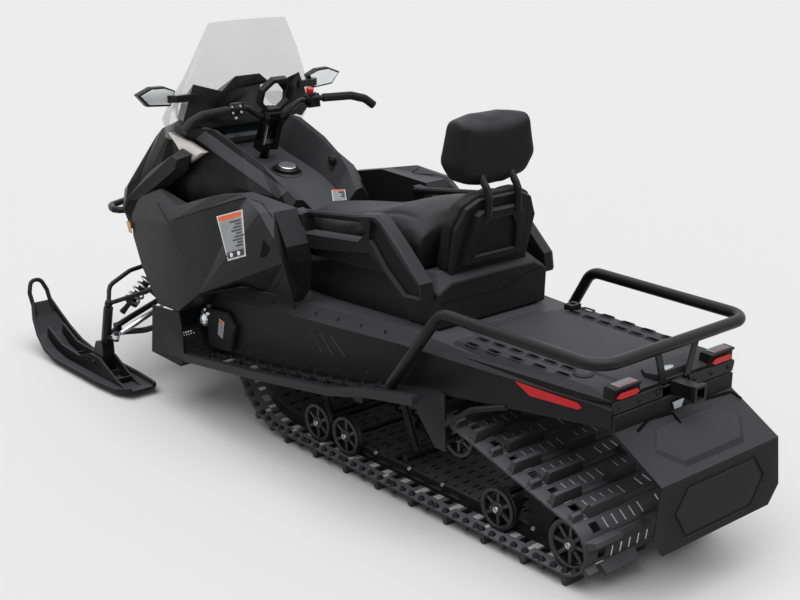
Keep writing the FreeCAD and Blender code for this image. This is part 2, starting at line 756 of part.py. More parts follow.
def tunnel_low(x):
    if x >= TUNNEL_KINK_X:
        return board_z(x)
    at_kink = board_z(TUNNEL_KINK_X)
    return at_kink + (TUNNEL_LOW_REAR_Z - at_kink) * rear_share(x)


def tunnel_section(x):
    half = tunnel_half(x)
    low = tunnel_low(x)
    bend = bend_z(x)
    up = TUNNEL_CHAMFER_UP + (TUNNEL_REAR_CHAMFER_UP - TUNNEL_CHAMFER_UP) * rear_share(x)
    flat = half - TUNNEL_CHAMFER_IN
    wall = TUNNEL_WALL
    outer = [(half, low), (half, bend), (flat, bend + up), (-flat, bend + up), (-half, bend), (-half, low)]
    inner = [(-half + wall, low), (-half + wall, bend - wall * 0.5), (-flat + wall * 0.5, bend + up - wall),
             (flat - wall * 0.5, bend + up - wall), (half - wall, bend - wall * 0.5), (half - wall, low)]
    return outer + inner


def tunnel_spans(corners):
    # The tunnel's section is twelve corners: six of the outer skin, then six of the inner one.
    return [loft_x([(x, tunnel_section(x)[:corners]) for x in ends]) for ends in zip(TUNNEL_KNEES,
                                                                                     TUNNEL_KNEES[1:])]


def tunnel_filled():
    spans = tunnel_spans(6)
    return spans[0].fuse(spans[1:])


def make_tunnel():
    spans = tunnel_spans(12)
    tabs = []
    arm_x, arm_z = REAR_ARM[0]
    for side in (-1, 1):
        inner = side * (TUNNEL_HALF_FRONT - TUNNEL_WALL)
        tabs.append(prism_y([(arm_x - 50, arm_z + 60), (arm_x - 20, arm_z - 25), (arm_x + 20, arm_z - 25),
                             (arm_x + 50, arm_z + 47)], inner, side * TUNNEL_HALF_FRONT))
    return spans[0].fuse(spans[1:] + tabs)


def make_board():
    inner = TUNNEL_HALF_FRONT + FIT_GAP
    outer = BOARD_OUTER_Y
    stations = [x for x, z in BOARD_LEVELS]
    top = [(x, board_z(x) + 4) for x in stations]
    bottom = [(x, board_z(x) + 4 - BOARD_PLATE) for x in reversed(stations)]
    plate = prism_y(top + bottom, inner, outer)
    slots = []
    slot_y = inner + BOARD_SLOT_IN
    x = TUNNEL_FRONT_X - 60
    while x > TUNNEL_KINK_X + 60:
        slots.append(box(x - BOARD_SLOT_LENGTH, x, slot_y, slot_y + BOARD_SLOT_WIDTH, 200.0, 500.0))
        x -= BOARD_SLOT_PITCH
    plate = plate.cut(slots)
    rail_top = [(x, board_z(x) + BOARD_RAIL_HEIGHT * 0.7) for x in stations]
    rail_low = [(x, board_z(x) - BOARD_RAIL_HEIGHT * 0.3) for x in reversed(stations)]
    rail = prism_y(rail_top + rail_low, outer - BOARD_RAIL_WIDTH, outer)
    return plate.fuse(rail)


def make_board_brace():
    level = board_z(-680.0)
    inner = CARRIER_PLATE_Y + FIT_GAP
    plate = prism_y([(-640.0, level - 4), (-826.0, level + 20), (CARRIER_X - 30, CARRIER_Z - 20),
                     (CARRIER_X + 20, CARRIER_Z - 20)], inner, inner + BRACE_PLATE)
    strut = bent_tube([(-820.0, inner + 7, 345.0), (-940.0, inner + 2, 432.0),
                       (-1060.0, tunnel_half(-1060.0) - 2, tunnel_low(-1060.0) + 2)], 9.0, 40.0, ROD_SIDES)
    return carve(plate.fuse(strut), make_tunnel(), make_board())


# Ski: a wide moulded blade with a raised rim, a keel and a ribbed web

SKI_STATIONS = (
    (SKI_REAR_X, 27.0, 60.0),
    (SKI_REAR_X + 70, 12.0, 84.0),
    (SKI_REAR_X + 200, 10.0, SKI_HALF_WIDTH),
    (1290.0, 10.0, SKI_HALF_WIDTH),
    (1390.0, 30.0, 90.0),
    (1470.0, 74.0, 80.0),
    (1530.0, 128.0, 66.0),
    (1572.0, 188.0, 46.0),
)


def ski_section(index):
    x, z, half = SKI_STATIONS[index]
    before = SKI_STATIONS[max(index - 1, 0)]
    after = SKI_STATIONS[min(index + 1, len(SKI_STATIONS) - 1)]
    slope = math.atan2(after[1] - before[1], after[0] - before[0])
    section = []
    outline = [(-half + 10, 0.0), (half - 10, 0.0), (half, 8.0), (half, SKI_EDGE_HEIGHT),
               (half - SKI_EDGE_WIDTH, SKI_EDGE_HEIGHT), (half - SKI_EDGE_WIDTH - 6, SKI_PLATE),
               (6 + SKI_EDGE_WIDTH - half, SKI_PLATE), (SKI_EDGE_WIDTH - half, SKI_EDGE_HEIGHT),
               (-half, SKI_EDGE_HEIGHT), (-half, 8.0)]
    for y, up in outline:
        section.append((x - math.sin(slope) * up, SKI_Y + y, z + math.cos(slope) * up))
    return section


def make_ski():
    blade = loft([ski_section(index) for index in range(len(SKI_STATIONS))])
    tip_x, tip_z, tip_half = SKI_STATIONS[-1]
    reach = tip_half - 6
    loop = bent_tube(
        [(tip_x - 34, SKI_Y - reach, tip_z - 40), (tip_x + 12, SKI_Y - reach, tip_z + 45),
         (tip_x + 30, SKI_Y - 22, tip_z + 91), (tip_x + 30, SKI_Y + 22, tip_z + 91),
         (tip_x + 12, SKI_Y + reach, tip_z + 45), (tip_x - 34, SKI_Y + reach, tip_z - 40)], SKI_LOOP_RADIUS, 26.0,
        ROD_SIDES)
    keel = prism_y([(SKI_REAR_X + 90, 0.0), (1240.0, 0.0), (1320.0, 12.0), (1320.0, 26.0),
                    (SKI_REAR_X + 60, 18.0)],
                   SKI_Y - SKI_KEEL_WIDTH / 2, SKI_Y + SKI_KEEL_WIDTH / 2)
    web_outline = [(SKI_REAR_X + 60, 18.0), (900.0, 46.0), (1010.0, 96.0), (1080.0, 98.0), (1180.0, 62.0),
                   (1330.0, 70.0), (1440.0, 118.0), (1452.0, 76.0), (1380.0, 34.0), (1260.0, 15.0),
                   (SKI_REAR_X + 60, 14.0)]
    pieces = [loop, keel]
    for sign in (-1, 1):
        y0 = SKI_Y + sign * SKI_WEB_Y - SKI_WEB_THICKNESS / 2
        pieces.append(prism_y(web_outline, y0, y0 + SKI_WEB_THICKNESS))
    rib_x = SKI_REAR_X + 140
    inner = SKI_WEB_Y - SKI_WEB_THICKNESS / 2 + 1
    while rib_x < 1350.0:
        if abs(rib_x - SKI_PIVOT_X) > 56:
            pieces.append(box(rib_x - 3, rib_x + 3, SKI_Y - inner, SKI_Y + inner, 16.0, 44.0))
        rib_x += SKI_RIB_PITCH
    bolt = rod((SKI_PIVOT_X, SKI_Y - SKI_WEB_Y - 12, SKI_PIVOT_Z),
               (SKI_PIVOT_X, SKI_Y + SKI_WEB_Y + 12, SKI_PIVOT_Z),
               SKI_BOLT_RADIUS)
    return blade.fuse(pieces + [bolt])


def kingpin_point(z):
    lean = math.tan(math.radians(KINGPIN_LEAN_DEG))
    return (KINGPIN_TOP_X + (KINGPIN_TOP_Z - z) * lean, SKI_Y, z)


def along_kingpin(distance):
    lean = math.radians(KINGPIN_LEAN_DEG)
    return V(TIE_ROD_BALL_X - math.sin(lean) * distance, SKI_Y, TIE_ROD_BALL_Z + math.cos(lean) * distance)


def make_spindle():
    drop = (UPPER_BALL_RADIUS + FIT_GAP) * math.cos(math.radians(KINGPIN_LEAN_DEG))
    top = kingpin_point(KINGPIN_TOP_Z - drop)
    low = kingpin_point(120.0)
    post = rod(low, top, SPINDLE_RADIUS)
    half = SKI_WEB_Y - SKI_WEB_THICKNESS / 2 - 3
    foot = prism_y([(SKI_PIVOT_X - 34, 56.0), (SKI_PIVOT_X - 14, 50.0), (SKI_PIVOT_X + 20, 50.0),
                    (SKI_PIVOT_X + 34, 66.0), (SKI_PIVOT_X + 26, 112.0), (SKI_PIVOT_X + 4, 156.0),
                    (SKI_PIVOT_X - 44, 168.0), (SKI_PIVOT_X - 48, 110.0)], SKI_Y - half, SKI_Y + half)
    bolt_hole = round_hole((SKI_PIVOT_X, SKI_Y - 60, SKI_PIVOT_Z), (SKI_PIVOT_X, SKI_Y + 60, SKI_PIVOT_Z),
                           SKI_BOLT_RADIUS + RUNNING_GAP)
    seat = TIE_ROD_EYE_HALF + FIT_GAP
    pad = rod(along_kingpin(-seat - 11), along_kingpin(-seat), TIE_ROD_EYE_RADIUS - 2)
    bolt = rod(along_kingpin(-seat), along_kingpin(seat + 1), TIE_ROD_BOLT_RADIUS)
    nut = rod(along_kingpin(seat), along_kingpin(seat + 7), TIE_ROD_BOLT_RADIUS + 4)
    arm = rod(kingpin_point(TIE_ROD_BALL_Z - 22), along_kingpin(-seat - 6), 8.0)
    return post.fuse([foot, arm, pad, bolt, nut]).cut(bolt_hole)


def make_tie_rod():
    eye = V(TIE_ROD_BALL_X, SKI_Y, TIE_ROD_BALL_Z)
    inner = V(TIE_ROD_BALL_X - 16, TIE_ROD_INNER_Y, TIE_ROD_INNER_Z)
    length = (inner - eye).Length
    tube = turned([(0.0, 8.0), (34.0, 8.0), (60.0, TIE_ROD_RADIUS), (length * 0.7, TIE_ROD_RADIUS),
                   (length - 26, TIE_ROD_INNER_RADIUS - 2), (length, TIE_ROD_INNER_RADIUS)],
                  tuple(eye), tuple(inner), ROD_SIDES)
    barrel = rod(along_kingpin(-TIE_ROD_EYE_HALF), along_kingpin(TIE_ROD_EYE_HALF), TIE_ROD_EYE_RADIUS)
    below = rod(along_kingpin(-40.0), along_kingpin(-TIE_ROD_EYE_HALF), TIE_ROD_EYE_RADIUS + 6)
    above = rod(along_kingpin(TIE_ROD_EYE_HALF), along_kingpin(40.0), TIE_ROD_EYE_RADIUS + 6)
    hole = round_hole(along_kingpin(-30.0), along_kingpin(30.0), TIE_ROD_BOLT_RADIUS + RUNNING_GAP)
    return carve(tube.cut(below).cut(above).fuse(barrel), hole)


def ball_joint(centre, radius, toward):
    # A ball joint's housing: a rounded drum about the line toward its stud.
    return turned([(-radius, radius * 0.4), (-radius * 0.7, radius * 0.8), (radius * 0.2, radius),
                   (radius, radius * 0.5)], centre, toward, ROD_SIDES)


def make_lower_arm():
    reach = LOWER_BALL_RADIUS + SPINDLE_RADIUS + FIT_GAP
    post_x = kingpin_point(LOWER_BALL_Z)[0]
    joint = (post_x, SKI_Y - reach, LOWER_BALL_Z)
    bracket = prism_y([(post_x - 16, LOWER_BALL_Z - 12), (post_x + 16, LOWER_BALL_Z - 12),
                       (post_x + 16, LOWER_BALL_Z + 32), (post_x - 16, LOWER_BALL_Z + 32)],
                      SKI_Y - reach - 26, SKI_Y - reach - 6)
    front = bent_tube([(post_x, SKI_Y - reach - 12, LOWER_BALL_Z + 22), (post_x + 2, 340.0, 236.0),
                       (1010.0, ARM_PIVOT_Y, 283.0)], ARM_RADIUS, 90.0, ROD_SIDES)
    rear = bent_tube([(post_x - 2, SKI_Y - reach - 12, LOWER_BALL_Z - 4), (915.0, 330.0, 204.0),
                      (780.0, ARM_PIVOT_Y, 268.0)], ARM_RADIUS, 80.0, ROD_SIDES)
    housing = ball_joint(joint, LOWER_BALL_RADIUS, (joint[0], joint[1] + 1, joint[2]))
    return outside(bracket.fuse([front, rear, housing]), FRAME_HALF + FIT_GAP)


def make_upper_arm():
    joint = kingpin_point(KINGPIN_TOP_Z)
    front = bent_tube([joint, (1002.0, SKI_Y - 24, 388.0), (1002.0, 330.0, 432.0),
                       (990.0, ARM_PIVOT_Y, 452.0)],
                      UPPER_ARM_RADIUS, 40.0, ROD_SIDES)
    rear = bent_tube([joint, (850.0, 330.0, 386.0), (724.0, ARM_PIVOT_Y, 430.0)], UPPER_ARM_RADIUS, 90.0,
                     ROD_SIDES)
    housing = ball_joint(joint, UPPER_BALL_RADIUS, kingpin_point(KINGPIN_TOP_Z - 10))
    return outside(front.fuse([rear, housing]), FRAME_HALF + FIT_GAP)


def make_front_shock():
    low = (1012.0, 386.0, 251.0)
    high = (868.0, ARM_PIVOT_Y, 535.0)
    whole = make_shock(high, low, SHOCK_SPRING_RADIUS, SHOCK_BODY_RADIUS, 7)
    return carve(outside(whole, FRAME_HALF + FIT_GAP), make_lower_arm())


# Steering

def column_point(along, y=0.0, out=0.0):
    lean = math.radians(COLUMN_LEAN_DEG)
    return (COLUMN_X - math.sin(lean) * along + math.cos(lean) * out, y,
            COLUMN_Z + math.cos(lean) * along + math.sin(lean) * out)


def column_plate(y0, y1, corners):
    base = [V(*column_point(along, y0, out)) for along, out in corners]
    return Part.Face(wire_of(base)).extrude(V(0, y1 - y0, 0))


def bar_centre():
    return column_point(BAR_UP_COLUMN, 0.0, 2.0)


def make_riser():
    post = rod(column_point(-50.0), column_point(46.0), COLUMN_RADIUS)
    cheeks = []
    for side in (-1, 1):
        y0, y1 = sorted((side * 22.0, side * 44.0))
        cheek = column_plate(y0, y1, [(30, -18), (30, 22), (96, 17), (186, 21), (190, -8), (170, -18),
                                      (96, -13)])
        window = column_plate(y0 - 1, y1 + 1, [(62, -6), (62, 8), (140, 10), (140, -6)])
        cheeks.append(cheek.cut(window))
    cross = [column_plate(-24.0, 24.0, [(a0, -14), (a0, 18), (a1, 18), (a1, -12)]) for a0,
             a1 in ((30, 58), (158, 186))]
    return post.fuse(cheeks + cross)


def bar_points():
    x, y, z = bar_centre()
    return [(x, 0.0, z), (x, 56.0, z), (x - 4, 118.0, z + 40), (x - 20, 200.0, z + 44),
            (x - 44, 335.0, z + 42),
            (x - 58, 392.0, z + 26), (x - 66, 428.0, z - 2)]


def make_handlebar():
    half = bar_points()
    return bent_tube([(x, -y, z) for x, y, z in reversed(half[1:])] + half[1:], BAR_RADIUS, 34.0)


def make_grip():
    pts = bar_points()
    start = V(*pts[3]) + (V(*pts[4]) - V(*pts[3])) * 0.12
    route = [tuple(start), pts[4], pts[5], pts[6]]
    outer = bent_tube(route, GRIP_RADIUS, 34.0)
    core = bent_tube(route, BAR_RADIUS + RUNNING_GAP, 34.0)
    return outer.cut(core)


def make_bar_hoop():
    centre = column_point(252.0)
    lean = math.radians(COLUMN_LEAN_DEG)
    rows = []
    for radius in (HOOP_RADIUS, HOOP_RADIUS - HOOP_WIDTH):
        corners = []
        for k in range(8):
            angle = math.radians(22.5 + 45 * k)
            up = radius * 0.94 * math.cos(angle)
            across = radius * math.sin(angle)
            corners.append(V(centre[0] - math.sin(lean) * up, across, centre[2] + math.cos(lean) * up))
        rows.append(Part.Face(wire_of(corners)))
    depth = V(math.cos(lean) * HOOP_DEPTH, 0, math.sin(lean) * HOOP_DEPTH)
    return rows[0].extrude(depth).cut(rows[1].extrude(depth))


def make_controls():
    pts = bar_points()
    a = V(*pts[2])
    b = V(*pts[3])
    along = (b - a).normalize()
    start = b - along * 58
    block = turned([(0.0, 17.0), (6.0, 24.0), (44.0, 25.0), (54.0, 18.0)], tuple(start), tuple(b))
    cluster = prism_y([(start.x - 30, start.z - 26), (start.x - 8, start.z - 30), (start.x + 4, start.z + 20),
                       (start.x - 22, start.z + 24)], start.y + 6, start.y + 50)
    lever = bent_tube([(start.x + 8, start.y + 28, start.z + 2), (start.x + 28, start.y + 44, start.z),
                       (start.x + 2, start.y + 126, start.z - 4)], 6.0, 24.0, ROD_SIDES)
    return block.fuse([cluster, lever])


# Bodywork

def make_hood():
    shell = loft_x([
        (1290.0, both_ways([(112, 606), (142, 630), (138, 664), (84, 692), (40, 696)])),
        (1180.0, both_ways([(205, 590), (246, 640), (232, 716), (134, 796), (64, 808)])),
        (1040.0, both_ways([(292, 590), (318, 668), (294, 770), (180, 896), (92, 914)])),
        (975.0, both_ways([(284, 592), (287, 700), (272, 810), (196, 956), (104, 982)])),
        (905.0, both_ways([(280, 600), (286, 715), (258, 860), (206, 1000), (112, 1026)])),
        (HOOD_REAR_X, both_ways([(226, 760), (230, 930), (222, 1032), (196, 1044), (120, 1046)])),
    ])
    fin = loft_y([
        (222.0, [(1130, 676), (1116, 708), (900, 850), (690, 962), (640, 952), (660, 896), (800, 800),
                 (966, 700)]),
        (268.0, [(1120, 680), (1106, 712), (892, 850), (676, 962), (612, 950), (640, 886), (796, 792),
                 (968, 694)]),
        (306.0, [(1040, 706), (1026, 722), (872, 822), (690, 936), (648, 930), (668, 890), (806, 806),
                 (960, 722)]),
    ])
    return shell.fuse([fin, mirrored(fin)])


def make_side_panel():
    return shield(PANEL_CORNERS, PANEL_FACETS, PANEL_RIM, PANEL_BACK_Y)


def make_headlamp():
    return loft_y([(LAMP_INNER_Y, LAMP_OUTLINE), (LAMP_OUTER_Y - 8, LAMP_OUTLINE),
                   (LAMP_OUTER_Y, inset(LAMP_OUTLINE, 7.0))])


def make_console():
    bore = round_hole(column_point(-51.0), column_point(349.0), COLUMN_RADIUS + FIT_GAP)
    body = loft_x([
        (HOOD_REAR_X - FIT_GAP, both_ways([(226, 760), (230, 930), (222, 1032), (196, 1044), (120, 1046)])),
        (705.0, both_ways([(232, 760), (237, 900), (238, 1034), (206, 1048), (122, 1012)])),
        (673.0, both_ways([(233, 758), (238, 896), (242, 1038), (206, 1046), (120, 957)])),
        (560.0, both_ways([(234, 750), (241, 880), (246, 1042), (204, 1036), (116, 925)])),
        (400.0, both_ways([(232, 745), (237, 868), (236, 992), (198, 984), (112, 890)])),
        (300.0, both_ways([(226, 740), (228, 862), (220, 952), (188, 944), (104, 868)])),
        (210.0, both_ways([(212, 730), (210, 852), (196, 914), (164, 908), (92, 836)])),
        (127.0, both_ways([(185, 720), (182, 806), (150, 849), (120, 844), (76, 800)])),
    ])
    frame = prism_y([(668, 950), (702, 1016), (688, 1024), (654, 958)], -DISPLAY_HALF, DISPLAY_HALF)
    return body.fuse(frame).cut(bore)


def make_fuel_cap():
    foot = (FUEL_CAP_X, 0.0, FUEL_CAP_Z)
    toward = (FUEL_CAP_X - 22.0, 0.0, FUEL_CAP_Z + 100.0)
    return turned([(-8.0, FUEL_CAP_RADIUS + 8), (4.0, FUEL_CAP_RADIUS + 8), (8.0, FUEL_CAP_RADIUS),
                   (FUEL_CAP_HEIGHT - 8, FUEL_CAP_RADIUS - 2), (FUEL_CAP_HEIGHT, FUEL_CAP_RADIUS - 12)],
                  foot, toward, WHEEL_SIDES)


def make_belly_pan():
    front = prism_y([(1060.0, 300.0), (699.0, 206.0), (699.0, 226.0), (1060.0, 326.0)], -FRAME_HALF,
                    FRAME_HALF)
    rear = prism_y([(700.0, 206.0), (TUNNEL_FRONT_X, 196.0), (TUNNEL_FRONT_X, 214.0), (700.0, 226.0)],
                   -PAN_FLOOR_HALF, PAN_FLOOR_HALF)
    inner = PAN_FLOOR_HALF - 1
    wall = prism_y([(676.0, 212.0), (654.0, 396.0), (468.0, 412.0), (450.0, 330.0), (447.0, 240.0),
                    (478.0, 206.0)],
                   PAN_OUTER_Y - PAN_WALL, PAN_OUTER_Y)
    floor = prism_y([(676.0, 206.0), (676.0, 216.0), (478.0, 212.0), (454.0, 240.0), (447.0, 240.0),
                     (474.0, 202.0)],
                    inner, PAN_OUTER_Y)
    toe = prism_y([(447.0, 238.0), (455.0, 238.0), (500.0, 340.0), (516.0, 400.0), (508.0, 401.0),
                   (492.0, 342.0)],
                  inner, PAN_OUTER_Y)
    vent = prism_y([(430.0, 262.0), (540.0, 262.0), (540.0, 330.0), (430.0, 330.0)], inner + 44,
                   PAN_OUTER_Y - 16)
    wing = wall.fuse([floor, toe.cut(vent)])
    return rear.fuse([front, wing, mirrored(wing)]).cut(tie_rod_passage(200.0))


def tie_rod_passage(floor_z):
    swing = TIE_ROD_INNER_Y - 74.0
    left = box(TIE_ROD_BALL_X - 40, TIE_ROD_BALL_X + 18, swing, FRAME_HALF + 1, floor_z, TIE_ROD_INNER_Z + 36)
    return left.fuse(mirrored(left))


def make_front_frame():
    block = prism_y([(680.0, 226.0), (700.0, 226.0), (1030.0, 317.0), (1030.0, 540.0), (900.0, 640.0),
                     (680.0, 760.0)], -FRAME_HALF, FRAME_HALF)
    return block.cut(tie_rod_passage(200.0))


def make_engine_block():
    return box(TUNNEL_FRONT_X + 10, 680.0 - FIT_GAP, -205.0, 205.0, 300.0, 700.0)


def sheet_profile(line_xy, thickness):
    inner = []
    count = len(line_xy)
    for k, (x, y) in enumerate(line_xy):
        xa, ya = line_xy[max(k - 1, 0)]
        xb, yb = line_xy[min(k + 1, count - 1)]
        length = math.hypot(xb - xa, yb - ya)
        inner.append((x - (yb - ya) / length * thickness, y + (xb - xa) / length * thickness))
    return line_xy + inner[::-1]


def screen_section(z, half_line):
    full = [(x, -y) for x, y in reversed(half_line)] + half_line[1:]
    return [(x, y, z) for x, y in sheet_profile(full, SCREEN_THICKNESS)]


def make_windshield():
    levels = [
        (1420.0, [(640.0, 0.0), (634.0, 100.0), (618.0, 160.0), (608.0, 172.0)]),
        (1308.0, [(712.0, 0.0), (700.0, 120.0), (655.0, 205.0), (621.0, 232.0)]),
        (1223.0, [(762.0, 0.0), (745.0, 140.0), (690.0, 235.0), (630.0, 268.0)]),
        (1136.0, [(808.0, 0.0), (792.0, 160.0), (735.0, 270.0), (640.0, 300.0)]),
        (1030.0, [(858.0, 0.0), (836.0, 120.0), (806.0, 196.0), (792.0, 216.0)]),
    ]
    main = loft([screen_section(z, line) for z, line in levels])
    wing_levels = [
        (1136.0, [(792.0, 160.0), (735.0, 270.0), (640.0, 300.0)]),
        (1073.0, [(812.0, 226.0), (752.0, 298.0), (650.0, 308.0)]),
        (1000.0, [(752.0, 288.0), (730.0, 298.0), (690.0, 302.0)]),
    ]
    wing = loft([[(x, y, z) for x, y in sheet_profile(line, SCREEN_THICKNESS)] for z, line in wing_levels])
    return main.fuse([wing, mirrored(wing)])


def make_shroud():
    return loft_x([
        (770.0, both_ways([(200, 1034), (222, 1060), (196, 1122), (112, 1108), (50, 1126)])),
        (618.0, both_ways([(250, 1036), (290, 1076), (240, 1206), (116, 1168), (54, 1218)])),
    ])


def make_mirror():
    face = [(299, 1185), (346, 1205), (401, 1207), (460, 1184), (419, 1138), (323, 1130)]
    nose = inset(face, 14.0)
    head = loft_x([(640.0, inset(face, 3.0)), (646.0, face), (668.0, face), (688.0, nose)])
    arm = prism_z([(676, 336), (650, 350), (610, 318), (606, 234), (630, 232), (628, 306)], 1146.0, 1172.0)
    return head.fuse(arm)


def make_front_bumper():
    half = [(1130.0, 200.0, 640.0), (1160.0, 300.0, 640.0), (1250.0, 260.0, 640.0), (1312.0, 120.0, 640.0)]
    return bent_tube(half + [(x, -y, z) for x, y, z in reversed(half)], BUMPER_RADIUS, 40.0)


# Seat group

def make_rider_seat():
    return loft_x([
        (146.0, both_ways([(70, 730), (84, 752), (76, 774), (52, 788), (20, 791)])),
        (99.0, both_ways([(104, 725), (118, 764), (106, 800), (62, 820), (24, 823)])),
        (-30.0, both_ways([(165, 713), (178, 772), (160, 814), (94, 836), (30, 839)])),
        (-150.0, both_ways([(196, 702), (202, 778), (184, 828), (112, 850), (36, 853)])),
        (-292.0, both_ways([(206, 722), (215, 802), (198, 862), (128, 886), (40, 889)])),
        (-405.0, both_ways([(214, 738), (221, 818), (202, 888), (138, 923), (44, 930)])),
        (-470.0, both_ways([(218, 745), (225, 828), (206, 897), (144, 929), (48, 935)])),
        (-553.0, both_ways([(220, 753), (226, 838), (208, 886), (142, 920), (46, 926)])),
        (-600.0, both_ways([(220, 758), (222, 832), (200, 872), (134, 900), (44, 905)])),
    ])


def make_seat_base():
    return loft_x([
        (146.0, both_ways([(146, 530), (160, 620), (70, 729.7)])),
        (-150.0, both_ways([(190, 550), (206, 640), (196, 701.7)])),
        (-430.0, both_ways([(214, 570), (226, 660), (214, 741.7)])),
        (-560.0, both_ways([(224, 590), (236, 680), (218, 752.7)])),
    ])


def make_storage_box():
    return loft_x([
        (-560.3, both_ways([(236, 598), (243, 716), (212, 753), (60, 753)])),
        (-650.0, both_ways([(238, 600), (243, 728), (194, 772), (60, 775)])),
        (DECK_FRONT_X, both_ways([(236, 602), (240, 715), (182, 745), (60, 747)])),
    ])


def leaning(outline_yz, out):
    # A ring of points on the backrest's leaning plane, moved out of it.
    return [(REST_FRONT_X - REST_LEAN * (z - REST_FOOT_Z) + out, y, z) for y, z in outline_yz]


def make_backrest_pad():
    outline = both_ways([(184, 768), (187, 920), (150, 988), (94, 1014)])
    return loft([leaning(inset(outline, 16.0), 0.0), leaning(outline, -14.0),
                 leaning(outline, -REST_THICKNESS)])


def make_backrest_shell():
    behind = -REST_THICKNESS - FIT_GAP
    plate = both_ways([(168, 748), (176, 908), (142, 974), (88, 998)])
    panel = both_ways([(134, 784), (128, 830), (106, 948), (90, 960)])
    arch = both_ways([(92, 806), (80, 890), (52, 930)])
    shell = loft([leaning(plate, behind), leaning(inset(plate, 5.0), behind - 12)])
    rear = loft([leaning(panel, behind - 11), leaning(inset(panel, 6.0), behind - 30)])
    recess = loft([leaning(arch, behind - 40), leaning(inset(arch, 6.0), behind - 18)])
    posts = []
    for y in (-POST_Y, POST_Y):
        posts.append(bent_tube([(-742.0, y, 940.0), (-744.0, y, 1012.0), (-690.0, y, 1080.0)], POST_RADIUS,
                               60.0))
    return shell.fuse([rear] + posts).cut(recess)


def make_headrest():
    return loft_x([
        (-620.0, both_ways([(43, 1032), (126, 1048), (164, 1104), (134, 1218), (58, 1242)])),
        (-640.0, both_ways([(45, 1026), (132, 1042), (174, 1102), (148, 1232), (60, 1252)])),
        (-696.0, both_ways([(46, 1025), (134, 1043), (177, 1104), (152, 1238), (62, 1224)])),
        (-715.0, both_ways([(43, 1032), (128, 1050), (170, 1106), (144, 1222), (52, 1204)])),
    ])


def make_grab_handle():
    outer = HANDLE_INNER_Y + HANDLE_THICKNESS
    frame = loft_y([(HANDLE_INNER_Y, HANDLE_OUTLINE), (outer - 12, HANDLE_OUTLINE),
                    (outer, inset(HANDLE_OUTLINE, 6.0))])
    pocket = loft_y([(outer - 14, HANDLE_POCKET), (outer + 1, inset(HANDLE_POCKET, -4.0))])
    tube = rod((-50.0, 250.0, 855.0), (-430.0, 263.0, 904.0), HANDLE_TUBE_RADIUS, TUBE_SIDES)
    collar = turned([(0.0, HANDLE_TUBE_RADIUS + 3), (4.0, HANDLE_TUBE_RADIUS + 6),
                     (24.0, HANDLE_TUBE_RADIUS + 6)],
                    (-372.0, 261.0, 896.5), (-398.0, 262.0, 899.8))
    front_foot = box(-150.0, -56.0, 196.0, HANDLE_INNER_Y + 1, 750.0, 776.0)
    rear_foot = box(-688.0, -606.0, 230.0, HANDLE_INNER_Y + 1, 696.0, 722.0)
    skirt = prism_y([(-60.0, 750.0), (-400.0, 796.0), (-440.0, 806.0), (-520.0, 752.0), (-470.0, 736.0),
                     (-60.0, 712.0)], HANDLE_INNER_Y - 8, HANDLE_INNER_Y + 2)
    return frame.cut(pocket).fuse([tube, collar, front_foot, rear_foot, skirt])


# Deck group

def deck_slots():
    slots = []
    for start, end, y_front, y_rear, pitch in DECK_SLOT_ROWS:
        count = int((start - end) / pitch) + 1
        for k in range(count):
            x = start - k * pitch
            y = y_front + (y_rear - y_front) * k / (count - 1)
            outline = slot_outline(x, y, DECK_SLOT_LENGTH, DECK_SLOT_WIDTH)
            slots.append(prism_z(outline, DECK_RAIL_Z - DECK_SLOT_DEPTH, DECK_TOP_Z + 10))
    return slots


def make_deck():
    rail = DECK_RAIL_Z
    panel = DECK_PANEL_HALF
    front = DECK_FRONT_X - FIT_GAP
    rear = DECK_REAR_X
    body = loft_x([
        (front, both_ways([(290, 540), (290, 566), (258, 592), (panel + 8, 592), (panel, 596)])),
        (DECK_LIP_X + 12, both_ways([(292, 536), (292, 572), (260, 594), (panel + 8, 594), (panel, 598)])),
        (DECK_LIP_X, both_ways([(294, 536), (294, 576), (262, rail), (panel + 8, rail),
                                (panel, DECK_TOP_Z)])),
        (DECK_FLAT_END_X, both_ways([(272, 578), (272, 592), (246, rail), (panel + 8, rail),
                                     (panel, DECK_TOP_Z)])),
        (rear, both_ways([(266, 590), (266, 594), (240, rail - 8), (panel + 8, rail - 8),
                          (panel, rail - 6)])),
    ])
    left = deck_slots()
    body = body.cut(left + [mirrored(slot) for slot in left])
    dome = turned([(-6.0, 30.0), (3.0, 30.0), (8.0, 22.0), (10.0, 10.0)], (DECK_DOME_X, DECK_DOME_Y, rail),
                  (DECK_DOME_X, DECK_DOME_Y, rail + 1))
    pad = loft([[(x, y, rail - 8) for x, y in DECK_PAD], [(x, y, rail + 12) for x, y in inset(DECK_PAD,
                                                                                              8.0)]])
    socket = box(-856.0, -822.0, -250.0, -206.0, rail - 4, rail + 18)
    socket = socket.cut(rod((-839.0, -228.0, rail + 4), (-839.0, -228.0, rail + 30), 11.0, TUBE_SIDES))
    return body.fuse([dome, mirrored(dome), pad, socket])


def make_rack():
    rear = TUNNEL_REAR_X - 4
    half = [(-640.0, 372.0, 436.0), (-822.0, RACK_HALF + 6, RACK_TOP_Z), (rear, RACK_HALF, RACK_TOP_Z)]
    hoop = bent_tube(half + [(x, -y, z) for x, y, z in reversed(half)], RACK_RADIUS, RACK_BEND_RADIUS)
    strut = prism_x([(72.0, RACK_TOP_Z - 12), (98.0, RACK_TOP_Z - 12), (64.0, 594.0), (38.0, 594.0)],
                    rear, rear + 6.4)
    return hoop.fuse([strut, mirrored(strut)])


